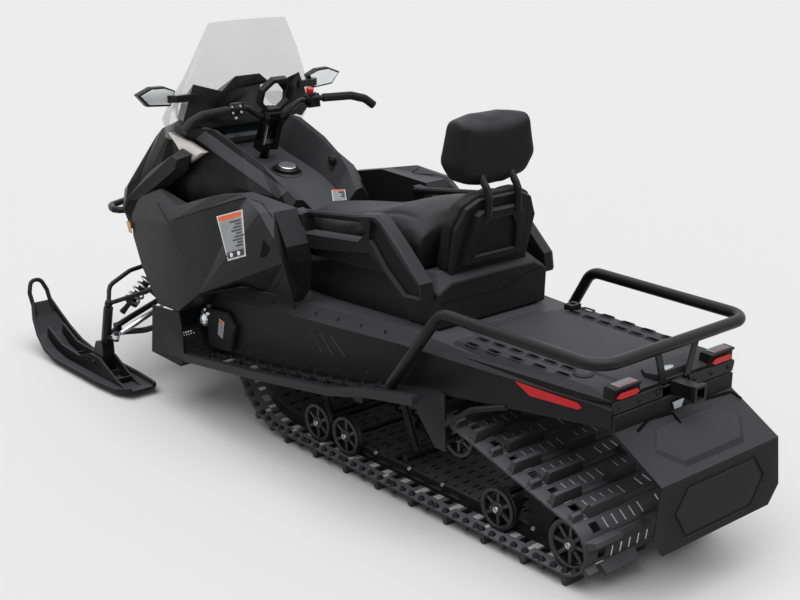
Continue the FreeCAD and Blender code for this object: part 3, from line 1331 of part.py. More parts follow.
def make_tail_lamp():
    rear = TUNNEL_REAR_X - 9
    foot = DECK_RAIL_Z - 14
    body = [(rear + 46, foot), (rear + 46, foot + 58), (rear + 38, foot + 70), (rear, foot + 66),
            (rear, foot + 56),
            (rear + 7, foot + 52), (rear + 7, foot)]
    return loft_y([(152.0, inset(body, 2.5)), (156.0, body), (258.0, body), (264.0, inset(body, 2.5))])


def make_hitch():
    front = TUNNEL_REAR_X - FIT_GAP
    rear = TUNNEL_REAR_X - HITCH_REACH
    half = HITCH_SIZE / 2
    low = HITCH_Z - half
    high = HITCH_Z + half
    tube = box(rear, front, -half, half, low, high)
    lip = half + 5
    collar = box(rear, rear + 16, -lip, lip, HITCH_Z - lip, HITCH_Z + lip)
    hole = half - HITCH_WALL
    socket = box(rear - 1, rear + 74, -hole, hole, HITCH_Z - hole, HITCH_Z + hole)
    return tube.fuse(collar).cut(socket)


def make_rear_plate():
    rear = TUNNEL_REAR_X - FIT_GAP
    outline = [(58.0, 556.0), (58.0, 590.0), (66.0, 592.0), (264.0, 592.0), (270.0, 584.0), (262.0, 556.0)]
    return loft_x([(rear, outline), (rear - PLATE_THICKNESS + 2, outline),
                   (rear - PLATE_THICKNESS, inset(outline, 2.0))])


def make_flap():
    rear = TUNNEL_REAR_X - FIT_GAP
    fold = TUNNEL_REAR_X - FLAP_REACH
    top = 505.0
    upper = prism_y([(rear, 552.0), (rear - 8, 552.0), (rear - 8, top), (fold, FLAP_FOLD_Z + 4),
                     (fold + FLAP_THICKNESS, FLAP_FOLD_Z - 4), (rear, top - 10)], -262.0, 262.0)
    face = [(262.0, FLAP_FOLD_Z + 4), (284.0, 250.0), (240.0, FLAP_LOW_Z)]
    lower = prism_x(both_ways(face), fold, fold + FLAP_THICKNESS)
    slope = (top - FLAP_FOLD_Z - 4) / (FLAP_REACH - 8)
    plateau = []
    for inward, push in ((0.0, -2.0), (12.0, 9.0)):
        plateau.append([(rear - 8 - s, y, top - s * slope + push)
                        for s, y in inset([(24, -130), (24, 130), (86, 196), (150, 130), (150, -130),
                                           (86, -196)], inward)])
    ring = both_ways([(150.0, FLAP_FOLD_Z - 22), (206.0, 302.0), (150.0, FLAP_LOW_Z + 22)])
    groove = prism_x(ring, fold - 1, fold + FLAP_THICKNESS / 2)
    groove = groove.cut(prism_x(inset(ring, 12.0), fold - 2, fold + FLAP_THICKNESS))
    return upper.fuse([lower, loft(plateau)]).cut(groove)


def make_gear_lever():
    stem = rod((262.0, -120.0, 852.0), (280.0, -132.0, 915.0), 5.0)
    knob = turned([(0.0, 7.0), (8.0, 13.0), (20.0, 16.0), (32.0, 14.0), (40.0, 7.0)], (278.0, -130.5, 908.0),
                  (288.0, -137.0, 943.0))
    return stem.fuse(knob)


def main():
    os.makedirs("parts", exist_ok=True)
    tunnel = make_tunnel()
    filled = tunnel_filled()
    frame = make_front_frame()
    pan = carve(make_belly_pan(), frame, tunnel)
    engine = make_engine_block()
    console = carve(make_console(), frame, engine)
    hood = carve(make_hood(), frame, console)
    cap = carve(make_fuel_cap(), console)
    board = make_board()
    brace = make_board_brace()
    panel = carve(make_side_panel(), tunnel, board, hood, console, frame, pan)
    lamp = carve(make_headlamp(), hood, console, panel)
    shroud = carve(make_shroud(), hood, console, lamp, mirrored(lamp))
    screen = carve(make_windshield(), hood, shroud, lamp, mirrored(lamp), console, panel, mirrored(panel))
    mirror = carve(make_mirror(), shroud, screen, hood)
    bumper = carve(make_front_bumper(), hood)
    seat_base = carve(make_seat_base(), filled, console, panel, mirrored(panel))
    store = carve(make_storage_box(), filled, seat_base)
    seat = carve(make_rider_seat(), seat_base, store, console, panel, mirrored(panel))
    pad = carve(make_backrest_pad(), store)
    rest = make_headrest()
    shell = carve(make_backrest_shell(), pad, rest, store, seat_base)
    seat = carve(seat, pad, shell)
    deck = carve(make_deck(), filled, store)
    handle = carve(make_grab_handle(), seat_base, seat, store, panel, pad, console, deck)
    rack = carve(make_rack(), board, mirrored(board), tunnel, deck, brace, mirrored(brace))
    lamp_tail = carve(make_tail_lamp(), deck, tunnel)
    lever = carve(make_gear_lever(), console, panel)
    bar = make_handlebar()
    riser = carve(make_riser(), bar)
    grip = make_grip()
    controls = carve(make_controls(), bar, grip)
    hoop = carve(make_bar_hoop(), riser, bar)
    rails = make_rails()
    arms = [carve(make_skid_arm(*arm), rails) for arm in (FRONT_ARM, REAR_ARM)]
    plate = carve(make_rear_plate(), deck)
    pairs = (
        ("ski", make_ski()),
        ("spindle", make_spindle()),
        ("tie_rod", make_tie_rod()),
    )
    for name, shape in pairs:
        save(name + "_left", shape)
        save(name + "_right", mirrored(shape))
    singles = (
        ("track", make_track()),
        ("slide_rails", rails),
        ("skid_arms", Part.makeCompound(arms)),
        ("skid_shocks", make_skid_shocks()),
        ("running_boards", both_sides(board)),
        ("board_braces", both_sides(brace)),
        ("lower_arms", both_sides(make_lower_arm())),
        ("upper_arms", both_sides(make_upper_arm())),
        ("front_shocks", both_sides(make_front_shock())),
        ("side_panels", both_sides(panel)),
        ("mirrors", both_sides(mirror)),
        ("grab_handles", both_sides(handle)),
        ("tunnel", tunnel),
        ("steering_riser", riser),
        ("handlebar", bar),
        ("hand_grips", both_sides(grip)),
        ("hand_controls", both_sides(controls)),
        ("bar_hoop", hoop),
        ("hood", hood),
        ("console", console),
        ("fuel_cap", cap),
        ("belly_pan", pan),
        ("front_frame", frame),
        ("engine_block", engine),
        ("windshield", screen),
        ("windshield_shroud", shroud),
        ("headlamps", both_sides(lamp)),
        ("front_bumper", bumper),
        ("rider_seat", seat),
        ("seat_base", seat_base),
        ("storage_box", store),
        ("backrest_pad", pad),
        ("backrest_shell", shell),
        ("headrest_pad", rest),
        ("cargo_deck", deck),
        ("rack_hoop", rack),
        ("tail_lamps", both_sides(lamp_tail)),
        ("hitch_receiver", carve(make_hitch(), both_sides(plate))),
        ("rear_plates", both_sides(plate)),
        ("snow_flap", carve(make_flap(), both_sides(plate), tunnel)),
        ("drive_axle", make_drive_axle()),
        ("road_wheels", make_road_wheels()),
        ("rear_idlers", make_rear_idlers()),
        ("carrier_wheels", make_carriers()),
        ("gear_lever", lever),
    )
    for name, shape in singles:
        save(name, shape)


main()
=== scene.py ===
import json
import logging
import math
from collections.abc import Callable, Iterator, Sequence
from contextlib import contextmanager
from dataclasses import dataclass, field
from enum import Enum

import bpy
from mathutils import Matrix, Vector

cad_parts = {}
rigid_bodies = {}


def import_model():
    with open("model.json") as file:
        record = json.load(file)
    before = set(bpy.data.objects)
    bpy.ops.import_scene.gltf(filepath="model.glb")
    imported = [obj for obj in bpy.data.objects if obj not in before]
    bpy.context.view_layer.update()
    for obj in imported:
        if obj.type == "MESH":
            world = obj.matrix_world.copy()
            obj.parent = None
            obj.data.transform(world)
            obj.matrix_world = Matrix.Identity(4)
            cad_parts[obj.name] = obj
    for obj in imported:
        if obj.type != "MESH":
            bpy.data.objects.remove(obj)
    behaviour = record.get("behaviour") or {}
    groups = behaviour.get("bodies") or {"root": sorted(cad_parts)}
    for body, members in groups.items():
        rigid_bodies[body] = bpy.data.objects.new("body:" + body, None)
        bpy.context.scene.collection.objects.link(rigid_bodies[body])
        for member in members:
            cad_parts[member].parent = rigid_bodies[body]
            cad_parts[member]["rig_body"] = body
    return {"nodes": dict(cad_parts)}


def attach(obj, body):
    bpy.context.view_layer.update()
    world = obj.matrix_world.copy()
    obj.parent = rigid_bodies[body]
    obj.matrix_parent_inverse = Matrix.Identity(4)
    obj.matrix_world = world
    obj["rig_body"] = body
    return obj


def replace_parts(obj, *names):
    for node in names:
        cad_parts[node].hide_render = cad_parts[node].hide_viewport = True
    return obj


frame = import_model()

Point = tuple[float, float, float]
Piece = bpy.types.Object
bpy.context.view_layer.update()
LOG = logging.getLogger("snowmobile")
MM = 0.001
SIDES = (1.0, -1.0)
UP: Point = (0.0, 0.0, 1.0)
LEFT: Point = (0.0, 1.0, 0.0)
REAR: Point = (-1.0, 0.0, 0.0)

# How far a finish's colour and gloss drift from place to place, where wear begins, and from what upward slope faces
# are painted paler, with the pale grey of that painted top light.
COLOUR_DRIFT, GLOSS_DRIFT, HAZE_DRIFT = 0.16, 0.06, 0.03
WORN_FROM, WORN_FULL = 0.52, 0.62
TOP_LIGHT_FROM = 0.25
TOP_LIGHT_COLOUR = "#77777A"
RELIEF_DEPTH = 0.0008


class Grain(Enum):
    """How a surface was made, which sets its small relief."""

    FINE = "fine moulded grain"
    COARSE = "coarse moulded grain"
    PAINT = "powder coat"
    LEATHER = "vinyl grain"
    BRUSHED = "drawn or brushed lines"
    SMOOTH = "smooth"


class Part(Enum):
    """What a shaping step picks in a mesh."""

    CORNER = "VERT"
    EDGE = "EDGE"
    FACE = "FACE"


def linear(hex_colour: str) -> tuple[float, float, float, float]:
    """Turns an sRGB colour into the linear one that a shader takes.

    Args:
        hex_colour: Six hex digits with a leading hash.

    Returns:
        Linear red, green, blue and an alpha of one.
    """
    channels = []
    for place in (1, 3, 5):
        value = int(hex_colour[place:place + 2], 16) / 255
        channels.append(value / 12.92 if value <= 0.04045 else ((value + 0.055) / 1.055) ** 2.4)
    return (channels[0], channels[1], channels[2], 1.0)


def set_node(owner: bpy.types.Material | bpy.types.World, node: bpy.types.Node, settings: dict | None = None,
             links: dict | None = None) -> bpy.types.Node:
    """Sets a shader node's values and its incoming links.

    Args:
        owner: The material or world that holds the node.
        node: The node to set.
        settings: Socket names or attribute names with their values.
        links: Socket names or numbers with the output sockets that feed them.

    Returns:
        The same node.
    """
    for name, value in (settings or {}).items():
        if name in node.inputs:
            node.inputs[name].default_value = value
        else:
            setattr(node, name, value)
    for name, source in (links or {}).items():
        owner.node_tree.links.new(source, node.inputs[name])
    return node


def add_node(owner: bpy.types.Material | bpy.types.World, kind: str, settings: dict | None = None,
             links: dict | None = None) -> bpy.types.Node:
    """Adds a shader node with its settings and its incoming links.

    Args:
        owner: The material or world that gets the node.
        kind: The node's type name.
        settings: Socket names or attribute names with their values.
        links: Socket names or numbers with the output sockets that feed them.

    Returns:
        The new node.
    """
    return set_node(owner, owner.node_tree.nodes.new(kind), settings, links)


def new_material(name: str) -> tuple[bpy.types.Material, bpy.types.Node]:
    """Makes an empty node material with its principled shader.

    Args:
        name: The material's name.

    Returns:
        The material and its principled shader node.
    """
    material = bpy.data.materials.new(name)
    material.use_nodes = True
    return material, material.node_tree.nodes["Principled BSDF"]


@dataclass(frozen=True)
class Finish:
    """A solid surface: its colour, gloss and the relief that its making leaves."""

    name: str
    colour: str
    roughness: float
    slot: str
    grain: Grain = Grain.FINE
    grain_mm: float = 4.0
    relief: float = 0.12
    metallic: float = 0.0
    mottle_mm: float = 90.0
    worn: str = "#4A4A4C"
    wear: float = 0.35
    specular: float = 0.5
    # How much upward faces are painted paler: painted light from above.
    painted_top_light: float = 0.0

    def build(self) -> bpy.types.Material:
        """Makes the material: mottled colour, uneven gloss, grain relief, worn edges and upper faces painted paler as
        painted light from above.

        Returns:
            The material.
        """
        material, shader = new_material(self.name)
        place = add_node(material, "ShaderNodeTexCoord").outputs["Object"]
        mottle = add_node(material, "ShaderNodeTexNoise", {"Scale": 1000 / self.mottle_mm, "Detail": 4.0},
                          {"Vector": place})
        grain = self.relief_texture(material, place)
        base = Vector(linear(self.colour)[:3])
        shades = {"A": (*(base * (1 - COLOUR_DRIFT)), 1.0), "B": (*(base * (1 + COLOUR_DRIFT)), 1.0)}
        ramp = add_node(material, "ShaderNodeMix", {"data_type": "RGBA", **shades},
                        {"Factor": mottle.outputs["Fac"]})
        shape = add_node(material, "ShaderNodeNewGeometry")
        rim = add_node(material, "ShaderNodeMapRange",
                       {"From Min": WORN_FROM, "From Max": WORN_FULL, "To Max": self.wear},
                       {"Value": shape.outputs["Pointiness"]})
        colour = add_node(material, "ShaderNodeMix", {"data_type": "RGBA", "B": linear(self.worn)},
                          {"Factor": rim.outputs["Result"], "A": ramp.outputs["Result"]})
        # Upward faces are painted paler towards a pale grey: painted light from above.
        top = add_node(material, "ShaderNodeSeparateXYZ", links={"Vector": shape.outputs["Normal"]})
        film = add_node(material, "ShaderNodeMapRange", {"From Min": TOP_LIGHT_FROM, "From Max": 1.0, "To Max": self.painted_top_light},
                        {"Value": top.outputs["Z"]})
        top_lit = add_node(material, "ShaderNodeMix", {"data_type": "RGBA", "B": linear(TOP_LIGHT_COLOUR)},
                          {"Factor": film.outputs["Result"], "A": colour.outputs["Result"]})
        gloss = add_node(material, "ShaderNodeMapRange",
                         {"To Min": self.roughness - GLOSS_DRIFT, "To Max": self.roughness + GLOSS_DRIFT},
                         {"Value": mottle.outputs["Fac"]})
        bump = add_node(material, "ShaderNodeBump", {"Strength": self.relief, "Distance": RELIEF_DEPTH},
                        {"Height": grain})
        shine = {} if self.metallic >= 0.5 else {"Specular IOR Level": self.specular}
        set_node(material, shader, {"Metallic": self.metallic, **shine},
                 {"Base Color": top_lit.outputs["Result"], "Roughness": gloss.outputs["Result"],
                  "Normal": bump.outputs["Normal"]})
        return material

    def relief_texture(self, material: bpy.types.Material, place: bpy.types.NodeSocket) -> bpy.types.NodeSocket:
        """Chooses the texture that gives the relief.

        Args:
            material: The material that gets the texture.
            place: The coordinates that the texture reads.

        Returns:
            The texture's height.
        """
        scale = 1000 / self.grain_mm
        if self.grain in (Grain.COARSE, Grain.LEATHER):
            return add_node(material, "ShaderNodeTexVoronoi", {"Scale": scale, "feature": "SMOOTH_F1"},
                            {"Vector": place}).outputs["Distance"]
        if self.grain is Grain.BRUSHED:
            place = add_node(material, "ShaderNodeMapping", {"Scale": (1.0, 14.0, 1.0)},
                             {"Vector": place}).outputs["Vector"]
        detail = 2.0 if self.grain is Grain.PAINT else 6.0
        return add_node(material, "ShaderNodeTexNoise", {"Scale": scale, "Detail": detail},
                        {"Vector": place}).outputs["Fac"]


# Each finish's share of paler upward faces is painted light from above.
# Polypropylene and nylon panels, moulded with a fine grain: dull charcoal with soft highlights.
# The real grain is a third of a millimetre; it is drawn at 3 mm so that it shows in the render.
PANEL = Finish("satin_moulded_panel", "#181819", 0.42, "panel_plastic", Grain.FINE, 3.0, 0.10, specular=0.09,
               painted_top_light=0.34)
# Coarse-grained black polypropylene of boxes, deck and shrouds: almost no shine.
MOULDED = Finish("grained_polypropylene", "#171718", 0.54, "moulded_plastic", Grain.COARSE, 5.0, 0.16,
                 specular=0.08, painted_top_light=0.32)
# Gloss black ABS trim round the screen, the mirrors and the lamps: sharp, dark reflections.
TRIM = Finish("gloss_black_trim", "#0D0D0E", 0.28, "moulded_plastic", Grain.SMOOTH, 30.0, 0.02, specular=0.20,
              painted_top_light=0.04)
# Painted shade for deep openings, shut lines, the latch's recess and the flap's rims, where hardly any light comes
# back.
SHADOW = Finish("unlit_recess", "#070707", 0.80, "moulded_plastic", Grain.FINE, 4.0, 0.05, specular=0.1, wear=0.0)
# Black powder coat on steel tube: an even sheen with a slight orange peel.
POWDER = Finish("black_powder_coat", "#111112", 0.36, "black_frame", Grain.PAINT, 6.0, 0.08, specular=0.16,
                painted_top_light=0.16)
# Painted aluminium sheet of the tunnel and rails: a smooth coat, with its upper faces painted paler grey as painted
# light from above.
SHEET = Finish("painted_aluminium_sheet", "#141415", 0.42, "black_frame", Grain.PAINT, 8.0, 0.06, specular=0.09,
               painted_top_light=0.45)
# Worn upper face of the footboard, where boots rub the paint to bare grey.
TREADPLATE = Finish("scuffed_board_sheet", "#202022", 0.50, "black_frame", Grain.COARSE, 7.0, 0.20,
                    worn="#4C4C4E", specular=0.15)
# Moulded track rubber: matt grey-black, with upward faces painted much paler, painted light that lifts the belt where
# the machine shades it, and paler crests where snow and ground have worn it.
RUBBER = Finish("moulded_track_rubber", "#3A3A3B", 0.62, "track_rubber", Grain.COARSE, 9.0, 0.30, worn="#68686A",
                wear=0.30, specular=0.12, painted_top_light=0.85)
# Satin polypropylene of the console's rim, painted paler where it is turned to the sky: a painted highlight of the
# light that falls there.
HIGHLIGHT_BAND = Finish("painted_highlight_band", "#4C4C4E", 0.45, "panel_plastic", Grain.FINE, 3.0, 0.08, specular=0.12, painted_top_light=0.2)
# Glass-filled nylon of the road wheels: dark, with a slight waxy shine.
WHEEL = Finish("nylon_wheel", "#19191A", 0.46, "wheel_plastic", Grain.FINE, 4.0, 0.10, specular=0.4)
# Soft grip rubber with a fine pattern that grips a glove.
GRIP = Finish("grip_rubber", "#141415", 0.70, "grip_rubber", Grain.COARSE, 4.0, 0.40, specular=0.2, painted_top_light=0.12)
# Seat vinyl: leather-like grain, drawn at 4 mm where the real one is one, with a soft low sheen.
VINYL = Finish("seat_vinyl", "#1A1A1B", 0.55, "seat_vinyl", Grain.LEATHER, 4.0, 0.22, specular=0.09, painted_top_light=0.30)
# Turned and drawn aluminium of tie rods and fittings: bright, with fine lines along the work.
BARE = Finish("turned_aluminium", "#C9CACD", 0.26, "bare_aluminium", Grain.BRUSHED, 6.0, 0.06, 1.0, worn="#E6E6E8")
# Hardened steel clips of the belt and the slits that see through it, painted almost white: a painted reflection of the
# open sky on the clips, and painted light of the pale background through the slits.
CLIP_PAINTED_PALE = Finish("track_clip_painted_pale", "#EDEDEB", 0.35, "bare_aluminium", Grain.FINE, 3.0, 0.06, 0.20, worn="#F6F6F4")
# Zinc-plated bolts and springs, duller than the aluminium.
ZINC = Finish("zinc_plated_steel", "#A9AAAD", 0.34, "bare_aluminium", Grain.FINE, 3.0, 0.08, 1.0, worn="#D8D8DA")
# Sand-cast iron of the engine: rough, dark and without a shine.
IRON = Finish("cast_engine", "#2E2E30", 0.60, "cast_iron", Grain.COARSE, 8.0, 0.30)
# Red acrylic reflector and lamp lenses: clear saturated red with a polished face.
LENS_RED = Finish("red_lens", "#C0161A", 0.30, "lamp_red", Grain.SMOOTH, 30.0, 0.02, worn="#E0302C", wear=0.1,
                  specular=0.25)
# Amber acrylic side markers, polished like the red ones.
LENS_AMBER = Finish("amber_lens", "#C98A1E", 0.22, "lamp_clear", Grain.SMOOTH, 30.0, 0.02, worn="#D89A30", wear=0.1)
# Vacuum-metallised bowl behind the headlamp lens.
REFLECTOR = Finish("metallised_reflector", "#EFEDE9", 0.24, "lamp_clear", Grain.SMOOTH, 24.0, 0.03, 0.80,
                   worn="#F6F4F0")
# Printed vinyl labels: white edge, orange heading, grey body and plain dark bars that stand for text.
PRINT_WHITE, PRINT_ORANGE, PRINT_GREY = (
    Finish(name, colour, 0.45, "moulded_plastic", Grain.SMOOTH, 30.0, 0.02, worn=worn)
    for name, colour, worn in (("label_white", "#E6E6E4", "#F2F2F0"), ("label_orange", "#E2602A", "#E87A4A"),
                               ("label_grey", "#8E9296", "#A4A8AC")))
PRINT_BLACK = Finish("label_black", "#0E0E0F", 0.45, "moulded_plastic", Grain.SMOOTH, 30.0, 0.02, wear=0.0)
# Silvered mirror glass, which shows the pale sky behind the machine, partly as a painted reflection: a near-white
# colour under a face that is only part metal.
MIRROR = Finish("silvered_glass_painted_pale", "#F4F5F6", 0.25, "lamp_clear", Grain.SMOOTH, 40.0, 0.01, 0.6, worn="#F6F7F8",
                wear=0.0)
# Hard-coated acrylic over the unlit display: dark grey with a clean, sharp shine.
DISPLAY = Finish("display_glass", "#3A3F42", 0.12, "moulded_plastic", Grain.SMOOTH, 40.0, 0.01, specular=0.6,
                 wear=0.0)
# Moulded ABS of the stop button: saturated red with a satin face.
BUTTON_RED = Finish("red_stop_button", "#D21A12", 0.34, "lamp_red", Grain.FINE, 3.0, 0.04, worn="#E84A3C")
# Silicone keys with a pale print that covers most of each key.
BUTTON_PALE = Finish("printed_button", "#C4C4C2", 0.40, "moulded_plastic", Grain.FINE, 3.0, 0.04, worn="#DADAD8")


@dataclass(frozen=True)
class ClearSheet:
    """Moulded clear polycarbonate: mostly see-through, with a pale milky sheen."""

    name: str
    tint: str
    cover: float
    slot: str = "clear_screen"
    roughness: float = 0.16

    def build(self) -> bpy.types.Material:
        """Makes the material as a thin clear sheet whose haze deepens a little from place to place.

        Returns:
            The material.
        """
        material, shader = new_material(self.name)
        place = add_node(material, "ShaderNodeTexCoord").outputs["Object"]
        haze = add_node(material, "ShaderNodeTexNoise", {"Scale": 5.0, "Detail": 2.0}, {"Vector": place})
        cover = add_node(material, "ShaderNodeMapRange",
                         {"To Min": self.cover - HAZE_DRIFT, "To Max": self.cover + HAZE_DRIFT},
                         {"Value": haze.outputs["Fac"]})
        set_node(material, shader, {"Base Color": linear(self.tint), "Roughness": self.roughness, "IOR": 1.45,
                                    "Specular IOR Level": 0.3}, {"Alpha": cover.outputs["Result"]})
        return material


# The tall screen: clear polycarbonate, slightly hazed by scratches.
SCREEN = ClearSheet("clear_polycarbonate", "#B4B5B7", 0.17)
# The headlamp's outer lens: clear polycarbonate with a polished face.
LAMP_GLASS = ClearSheet("lamp_lens", "#D8D6D2", 0.22, "lamp_clear", 0.05)


class Palette:
    """Keeps each finish's material, made once."""

    made: dict[str, bpy.types.Material] = {}

    @classmethod
    def get(cls, finish: Finish | ClearSheet) -> bpy.types.Material:
        """Gives the material of a finish, and makes it at the first call.

        Args:
            finish: The finish that is wanted.

        Returns:
            Its material.
        """
        if finish.name not in cls.made:
            cls.made[finish.name] = finish.build()
        return cls.made[finish.name]


# The angles, in degrees, past which an edge is rounded on a made piece and on a copied solid, and below
# which an unrounded piece is shaded smooth.
SHARP_DEG, SOLID_SHARP_DEG, SMOOTH_DEG = 24.0, 18.0, 36.0
# A bent tube has a ring of corners every 9 degrees, and a spring 18 of them in each turn.
BEND_STEP_DEG, COIL_STEPS = 9.0, 18
# Faces of a copied solid that turn by less than this are one flat face.
FLAT_DEG = 0.6
# Corners nearer than this, in metres, are one corner.
SAME_CORNER, SAME_SOLID_CORNER = 0.00001, 0.00002
MIRROR_SIDE = Matrix.Scale(-1.0, 4, LEFT)


def metres(point: Point) -> Vector:
    """Turns a place in millimetres into metres."""
    return Vector(point) * MM


def select_only(piece: Piece) -> None:
    """Makes a piece the only selected and the active object.

    Args:
        piece: The piece that the next operator works on.
    """
    bpy.ops.object.select_all(action="DESELECT")
    piece.select_set(True)
    bpy.context.view_layer.objects.active = piece


@contextmanager
def chosen(piece: Piece, part: Part, test: Callable[[Vector, Vector], bool]) -> Iterator[None]:
    """Opens a piece in edit mode with some parts selected, and closes it after.

    Args:
        piece: The piece to shape.
        part: Corners, edges or faces.
        test: Gets a part's middle in millimetres and its direction, and says whether it is chosen.
    """
    select_only(piece)
    bpy.ops.object.mode_set(mode="EDIT")
    bpy.ops.mesh.select_mode(type=part.value)
    bpy.ops.mesh.select_all(action="DESELECT")
    bpy.ops.object.mode_set(mode="OBJECT")
    mesh = piece.data
    if part is Part.CORNER:
        for corner in mesh.vertices:
            corner.select = test(corner.co / MM, corner.normal)
    elif part is Part.EDGE:
        for edge in mesh.edges:
            start, end = (mesh.vertices[index].co for index in edge.vertices)
            edge.select = test((start + end) / 2 / MM, (end - start).normalized())
    else:
        for face in mesh.polygons:
            face.select = test(face.center / MM, face.normal)
    bpy.ops.object.mode_set(mode="EDIT")
    yield
    bpy.ops.object.mode_set(mode="OBJECT")


def every(middle: Vector, direction: Vector) -> bool:
    """Chooses every part."""
    return True


def on_top(middle: Vector, direction: Vector) -> bool:
    """Chooses the faces that look up."""
    return direction.z > 0.9


def close_skin() -> None:
    """Turns all faces of the piece in edit mode outwards."""
    bpy.ops.mesh.select_all(action="SELECT")
    bpy.ops.mesh.normals_make_consistent(inside=False)


def take(name: str) -> Piece:
    """Names the piece that an operator just added and puts its place and turn into its mesh.

    Args:
        name: The piece's name.

    Returns:
        The piece.
    """
    piece = bpy.context.active_object
    piece.name = piece.data.name = name
    select_only(piece)
    bpy.ops.object.transform_apply(location=True, rotation=True, scale=True)
    return piece


def rework(piece: Piece, kind: str, **settings: object) -> None:
    """Adds a modifier with its settings to a piece and applies it.

    Args:
        piece: The piece that is changed.
        kind: The modifier's type name.
        settings: Attribute names with their values.
    """
    select_only(piece)
    modifier = piece.modifiers.new(kind.lower(), kind)
    for name, value in settings.items():
        setattr(modifier, name, value)
    bpy.ops.object.modifier_apply(modifier=modifier.name)


def round_edges(piece: Piece, width: float, rounds: int = 2, corner_deg: float = SHARP_DEG) -> Piece:
    """Rounds a piece's sharp edges and shades it smooth between them.

    Args:
        piece: The piece to round.
        width: The rounding's width in millimetres.
        rounds: The number of faces across a rounding.
        corner_deg: Edges that turn less than this stay as they are.

    Returns:
        The same piece.
    """
    select_only(piece)
    bpy.ops.object.shade_smooth_by_angle(angle=math.radians(corner_deg if width > 0 else SMOOTH_DEG))
    if width > 0:
        rework(piece, "BEVEL", width=width * MM, segments=rounds, limit_method="ANGLE",
               angle_limit=math.radians(corner_deg), harden_normals=True)
    return piece


def block(name: str, low: Point, high: Point, edge: float = 1.0) -> Piece:
    """Makes a rounded block.

    Args:
        name: The piece's name.
        low: The corner with the lowest coordinates, in millimetres.
        high: The opposite corner.
        edge: The rounding of its edges.

    Returns:
        The piece.
    """
    size = metres(high) - metres(low)
    bpy.ops.mesh.primitive_cube_add(size=1.0, location=(metres(low) + metres(high)) / 2, scale=size)
    return round_edges(take(name), edge)


def spool(name: str, start: Point, end: Point, radii: tuple[float, ...], sides: int = 20, edge: float = 0.6) -> Piece:
    """Makes a round piece between two points, with steps of different radii spread along it.

    Args:
        name: The piece's name.
        start: The middle of its first face.
        end: The middle of its last face.
        radii: Its radius at evenly spread places from start to end.
        sides: The number of sides round it.
        edge: The rounding of its sharp edges.

    Returns:
        The piece.
    """
    heading = metres(end) - metres(start)
    bpy.ops.mesh.primitive_circle_add(vertices=sides, radius=radii[0] * MM, fill_type="NGON", location=metres(start),
                                      rotation=heading.to_track_quat("Z", "Y").to_euler())
    piece = take(name)
    step = heading / (len(radii) - 1)
    with chosen(piece, Part.FACE, every):
        for before, after in zip(radii, radii[1:]):
            bpy.ops.mesh.extrude_region_move(TRANSFORM_OT_translate={"value": step})
            bpy.ops.transform.resize(value=(after / before,) * 3)
        close_skin()
    return round_edges(piece, edge)


def ring_through(name: str, corners: list[Point], filled: bool = False) -> Piece:
    """Makes a ring, or a flat face, by moving the corners of a small circle to their places.

    Args:
        name: The piece's name.
        corners: The places in order, in millimetres.
        filled: Whether the ring is filled with a face.

    Returns:
        The piece.
    """
    bpy.ops.mesh.primitive_circle_add(vertices=len(corners), radius=0.01, fill_type="NGON" if filled else "NOTHING")
    piece = take(name)
    for corner, place in zip(piece.data.vertices, corners):
        corner.co = metres(place)
    piece.data.update()
    return piece


def face_toward(piece: Piece, toward: Point) -> None:
    """Flips a flat piece that looks away from a direction.

    Args:
        piece: The flat piece.
        toward: The direction that its first face has to look in.
    """
    piece.data.update()
    if piece.data.polygons[0].normal.dot(Vector(toward)) < 0:
        piece.data.flip_normals()


def plate(name: str, corners: list[Point], thick: float, toward: Point, edge: float = 0.0) -> Piece:
    """Makes a flat plate: a filled ring, pushed out.

    Args:
        name: The piece's name.
        corners: Its outline, in order.
        thick: How far it is pushed out, in millimetres.
        toward: The side that it is pushed out to.
        edge: The rounding of its edges.

    Returns:
        The piece.
    """
    piece = ring_through(name, corners, True)
    face_toward(piece, toward)
    push = piece.data.polygons[0].normal * thick * MM
    with chosen(piece, Part.FACE, every):
        bpy.ops.mesh.extrude_region_move(TRANSFORM_OT_translate={"value": push})
        close_skin()
    return round_edges(piece, edge)


def tube(name: str, points: list[Point], radius: float, bend: float = 0.0, sides: int = 18) -> Piece:
    """Makes a round tube along a line of points, with its corners bent on arcs.

    Args:
        name: The piece's name.
        points: The tube's corners, in millimetres.
        radius: The tube's radius.
        bend: The radius of the bends' middle line.
        sides: The number of sides round the tube.

    Returns:
        The piece.
    """
    route = [metres(point) for point in points]
    heading = (route[1] - route[0]).normalized()
    bpy.ops.mesh.primitive_circle_add(vertices=sides, radius=radius * MM, location=route[0],
                                      rotation=heading.to_track_quat("Z", "Y").to_euler())
    piece = take(name)
    with chosen(piece, Part.EDGE, every):
        bpy.ops.mesh.edge_face_add()
        place = route[0]
        for before, corner, after in zip(route, route[1:], route[2:]):
            heading, leaving = (corner - before).normalized(), (after - corner).normalized()
            turn = heading.angle(leaving)
            reach = bend * MM * math.tan(turn / 2)
            start = corner - heading * reach
            bpy.ops.mesh.extrude_region_move(TRANSFORM_OT_translate={"value": start - place})
            axis = leaving.cross(heading).normalized()
            centre = start + heading.cross(axis) * bend * MM
            steps = max(2, round(turn / math.radians(BEND_STEP_DEG)))
            bpy.ops.mesh.spin(steps=steps, angle=turn, center=centre, axis=axis)
            place = corner + leaving * reach
        bpy.ops.mesh.extrude_region_move(TRANSFORM_OT_translate={"value": route[-1] - place})
        close_skin()
    return round_edges(piece, 0.0)


